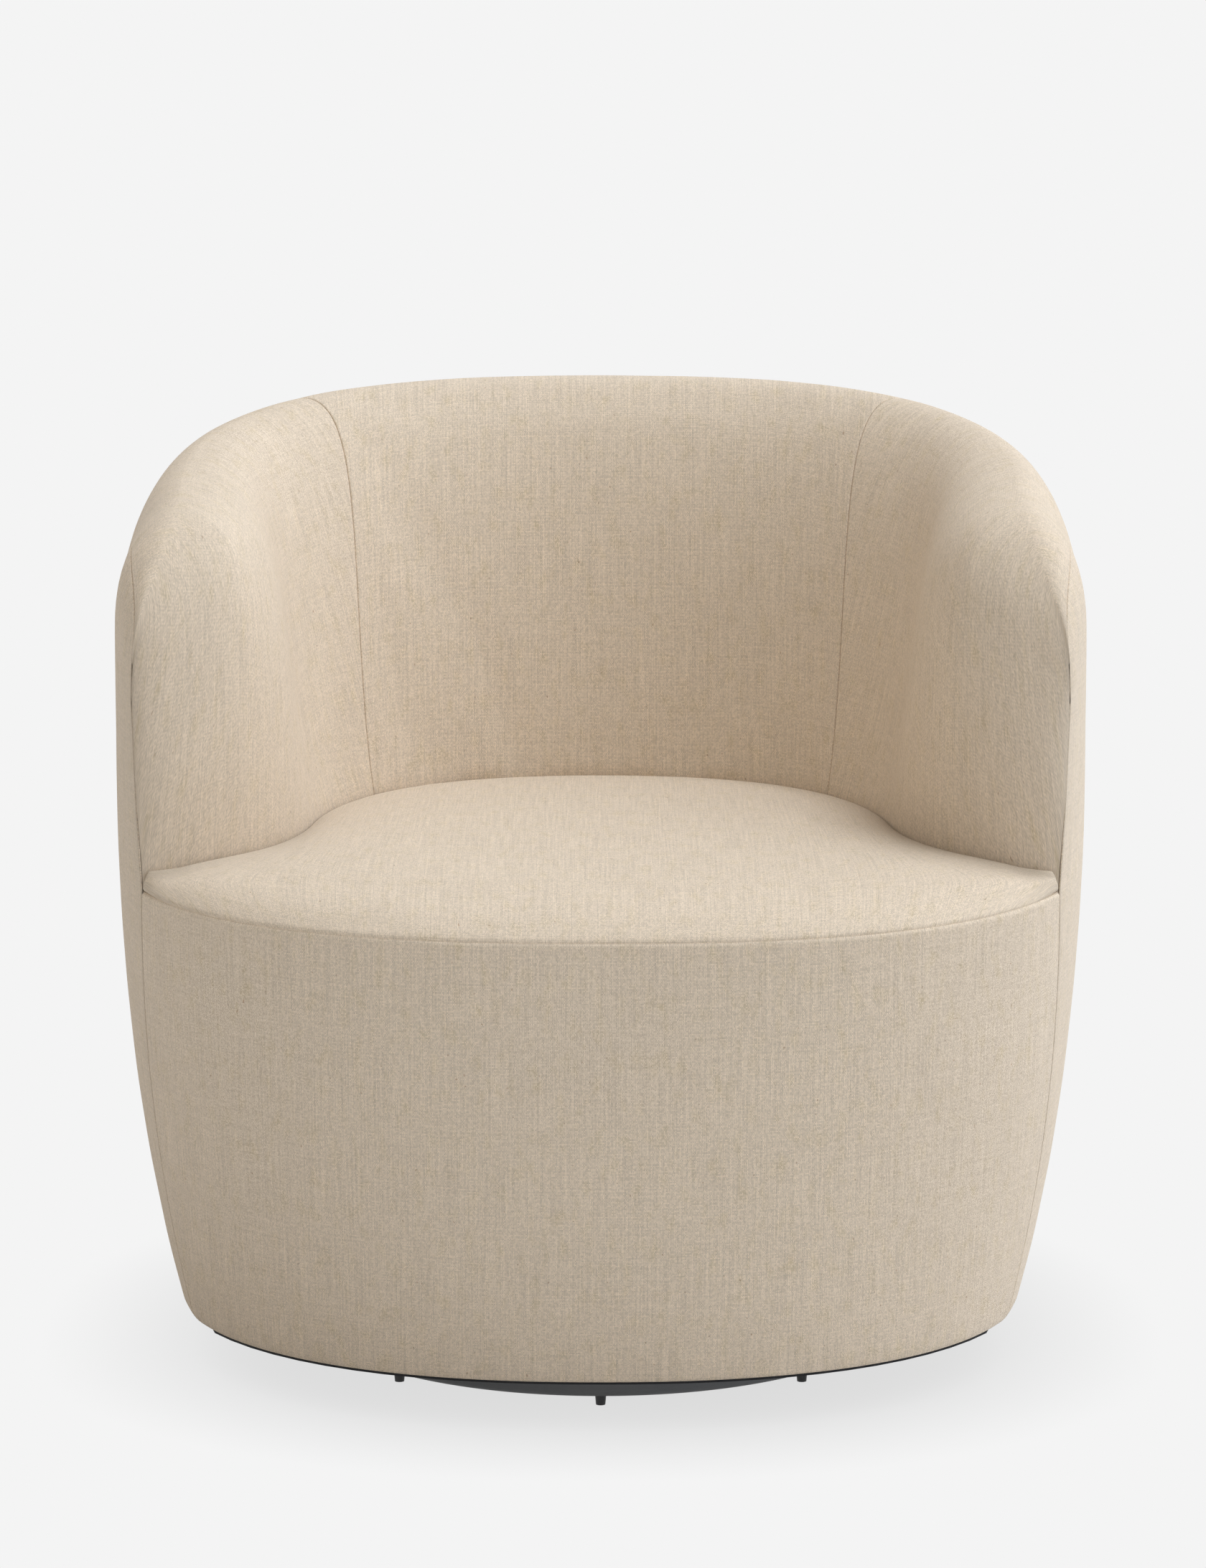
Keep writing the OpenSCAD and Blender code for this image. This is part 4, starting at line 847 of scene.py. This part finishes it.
def makeDustCloth():
    material, tree, shader = newMaterial("dustCloth", dustCloth["roughness"])
    fibres = noiseNode(tree, objectVector(tree), dustCloth["fibres"], dustCloth["detail"], dustCloth["noise"])
    dimples = tree.nodes.new("ShaderNodeTexVoronoi")
    dimples.inputs["Scale"].default_value = dustCloth["dimples"]
    tree.links.new(objectVector(tree), dimples.inputs["Vector"])
    colour = mixColour(tree, fibres, dustCloth["dark"], dustCloth["light"])
    tree.links.new(colour, shader.inputs["Base Color"])
    addBump(tree, shader, mathNode(tree, "ADD", fibres, dimples.outputs["Distance"]), dustCloth["bump"])
    return material


finishes = {
    "base_paint": makePaint(),
    "glide": makeGlide(),
    "dust_cloth": makeDustCloth(),
    "foam": makeFoam(),
    "plate_steel": makeMetal("plateSteel", (0.42, 0.43, 0.45), 0.38),
    "zinc_steel": makeMetal("zincSteel", (0.66, 0.67, 0.69), 0.3),
    "ball_steel": makeMetal("ballSteel", (0.72, 0.73, 0.75), 0.12),
    "cage_brass": makeMetal("cageBrass", (0.68, 0.50, 0.22), 0.35),
    "spring_wire": makeMetal("springWire", (0.22, 0.22, 0.23), 0.42),
    "timber": makeWood("planedTimber", (0.66, 0.48, 0.28), (0.45, 0.29, 0.15), (60, 14, 60)),
    "plywood": makeWood("plywood", (0.70, 0.53, 0.33), (0.46, 0.31, 0.17), (26, 26, 180), 0.0032),
    "fibreboard": makeWood("fibreboard", (0.33, 0.22, 0.13), (0.22, 0.14, 0.08), (500, 500, 500)),
    "hessian": makeWovenStrap("hessian", (0.42, 0.31, 0.17), 0.0022),
    "webbing": makeWovenStrap("webbing", (0.30, 0.22, 0.13), 0.0016),
}
for part in frame["record"]["subparts"]:
    finish = finishes.get(part["material_slot"])
    if finish:
        mesh = nodes[part["node"]].data
        mesh.materials.clear()
        mesh.materials.append(finish)
        for polygon in mesh.polygons:
            polygon.material_index = 0

print("setting up the room")
room = {"floor": 0.66, "roughness": 0.9, "size": 40, "middle": (0, 8, 0), "seen": 0.905,
        "paintedShadow": 0.20, "reach": 0.13,
        "even": (0.332, 0.326, 0.314), "right": (1.479, 1.585, 1.721), "left": (0.371, 0.345, 0.306),
        "key": {"from": (0.296, 0.171, 0.940), "power": 1.345, "spread": 22, "colour": (0.918, 1.0, 1.103)}}


# rays that meet the plain background: the camera's own, and those that come by way of gloss or glass
def seenRays(tree):
    paths = tree.nodes.new("ShaderNodeLightPath")
    mirrored = mathNode(tree, "MAXIMUM", paths.outputs["Is Glossy Ray"], paths.outputs["Is Transmission Ray"])
    return mathNode(tree, "MAXIMUM", paths.outputs["Is Camera Ray"], mirrored)


# the camera sees an even, near-white floor that glows, with a painted soft shadow close to the chair where
# ambient occlusion dims its glow, and it is matt to all else
def makeFloor():
    material, tree, shader = newMaterial("paleFloor", room["roughness"])
    shader.inputs["Base Color"].default_value = (room["floor"],) * 3 + (1,)
    shader.inputs["Specular IOR Level"].default_value = 0.0
    near = tree.nodes.new("ShaderNodeAmbientOcclusion")
    near.inputs["Distance"].default_value = room["reach"]
    hidden = mathNode(tree, "SUBTRACT", 1.0, near.outputs["AO"])
    glow = tree.nodes.new("ShaderNodeEmission")
    glow.inputs["Color"].default_value = (1, 1, 1, 1)
    # painted shadow: the glow is dimmed where ambient occlusion finds the chair close by
    strength = mathNode(tree, "MULTIPLY_ADD", hidden, -room["paintedShadow"], room["seen"])
    tree.links.new(strength, glow.inputs["Strength"])
    blend = tree.nodes.new("ShaderNodeMixShader")
    tree.links.new(seenRays(tree), blend.inputs[0])
    tree.links.new(shader.outputs[0], blend.inputs[1])
    tree.links.new(glow.outputs[0], blend.inputs[2])
    tree.links.new(blend.outputs[0], tree.nodes["Material Output"].inputs["Surface"])
    return material


bpy.ops.object.select_all(action="DESELECT")
bpy.ops.mesh.primitive_plane_add(size=room["size"], location=room["middle"])
floor = bpy.context.object
floor.name = "floor"
floor.data.materials.append(makeFloor())

# the room is brighter on the right, and the camera sees an even backdrop
world = bpy.data.worlds.new("room")
bpy.context.scene.world = world
world.use_nodes = True
sky = world.node_tree
background = sky.nodes["Background"]
around = sky.nodes.new("ShaderNodeTexCoord")
split = sky.nodes.new("ShaderNodeSeparateXYZ")
sky.links.new(around.outputs["Generated"], split.inputs[0])
rightmost = mathNode(sky, "MAXIMUM", split.outputs[0], 0.0)
leftmost = mathNode(sky, "MAXIMUM", mathNode(sky, "MULTIPLY", split.outputs[0], -1.0), 0.0)
fromRight, fromLeft = (tuple(a + b for a, b in zip(room["even"], room[side])) for side in ("right", "left"))
glow = mixColour(sky, leftmost, mixColour(sky, rightmost, room["even"], fromRight), fromLeft)
sky.links.new(mixColour(sky, seenRays(sky), glow, (room["seen"],) * 3), background.inputs["Color"])
background.inputs["Strength"].default_value = 1.0


# a high lamp behind the chair, on its right
def addLamp(name, lamp):
    light = bpy.data.lights.new(name, "SUN")
    light.energy, light.angle, light.color = lamp["power"], math.radians(lamp["spread"]), lamp["colour"]
    holder = bpy.data.objects.new(name, light)
    holder.rotation_euler = Vector(lamp["from"]).to_track_quat("Z", "Y").to_euler()
    bpy.context.scene.collection.objects.link(holder)


addLamp("keyLamp", room["key"])

# the camera as it was solved from the photo's outline and seams
shot = {"lens": 159.8, "sensor": 36.0, "shift": 0.0015, "far": 100, "place": (0, -5.5722, 1.5478),
        "down": 11.064}
camera = bpy.data.cameras.new("camera")
camera.lens, camera.sensor_width, camera.shift_x = shot["lens"], shot["sensor"], shot["shift"]
camera.clip_end = shot["far"]
view = bpy.data.objects.new("camera", camera)
view.location = shot["place"]
view.rotation_euler = (math.radians(90 - shot["down"]), 0, 0)
bpy.context.scene.collection.objects.link(view)
bpy.context.scene.camera = view
bpy.context.scene.view_settings.view_transform = "Standard"

print("finished")
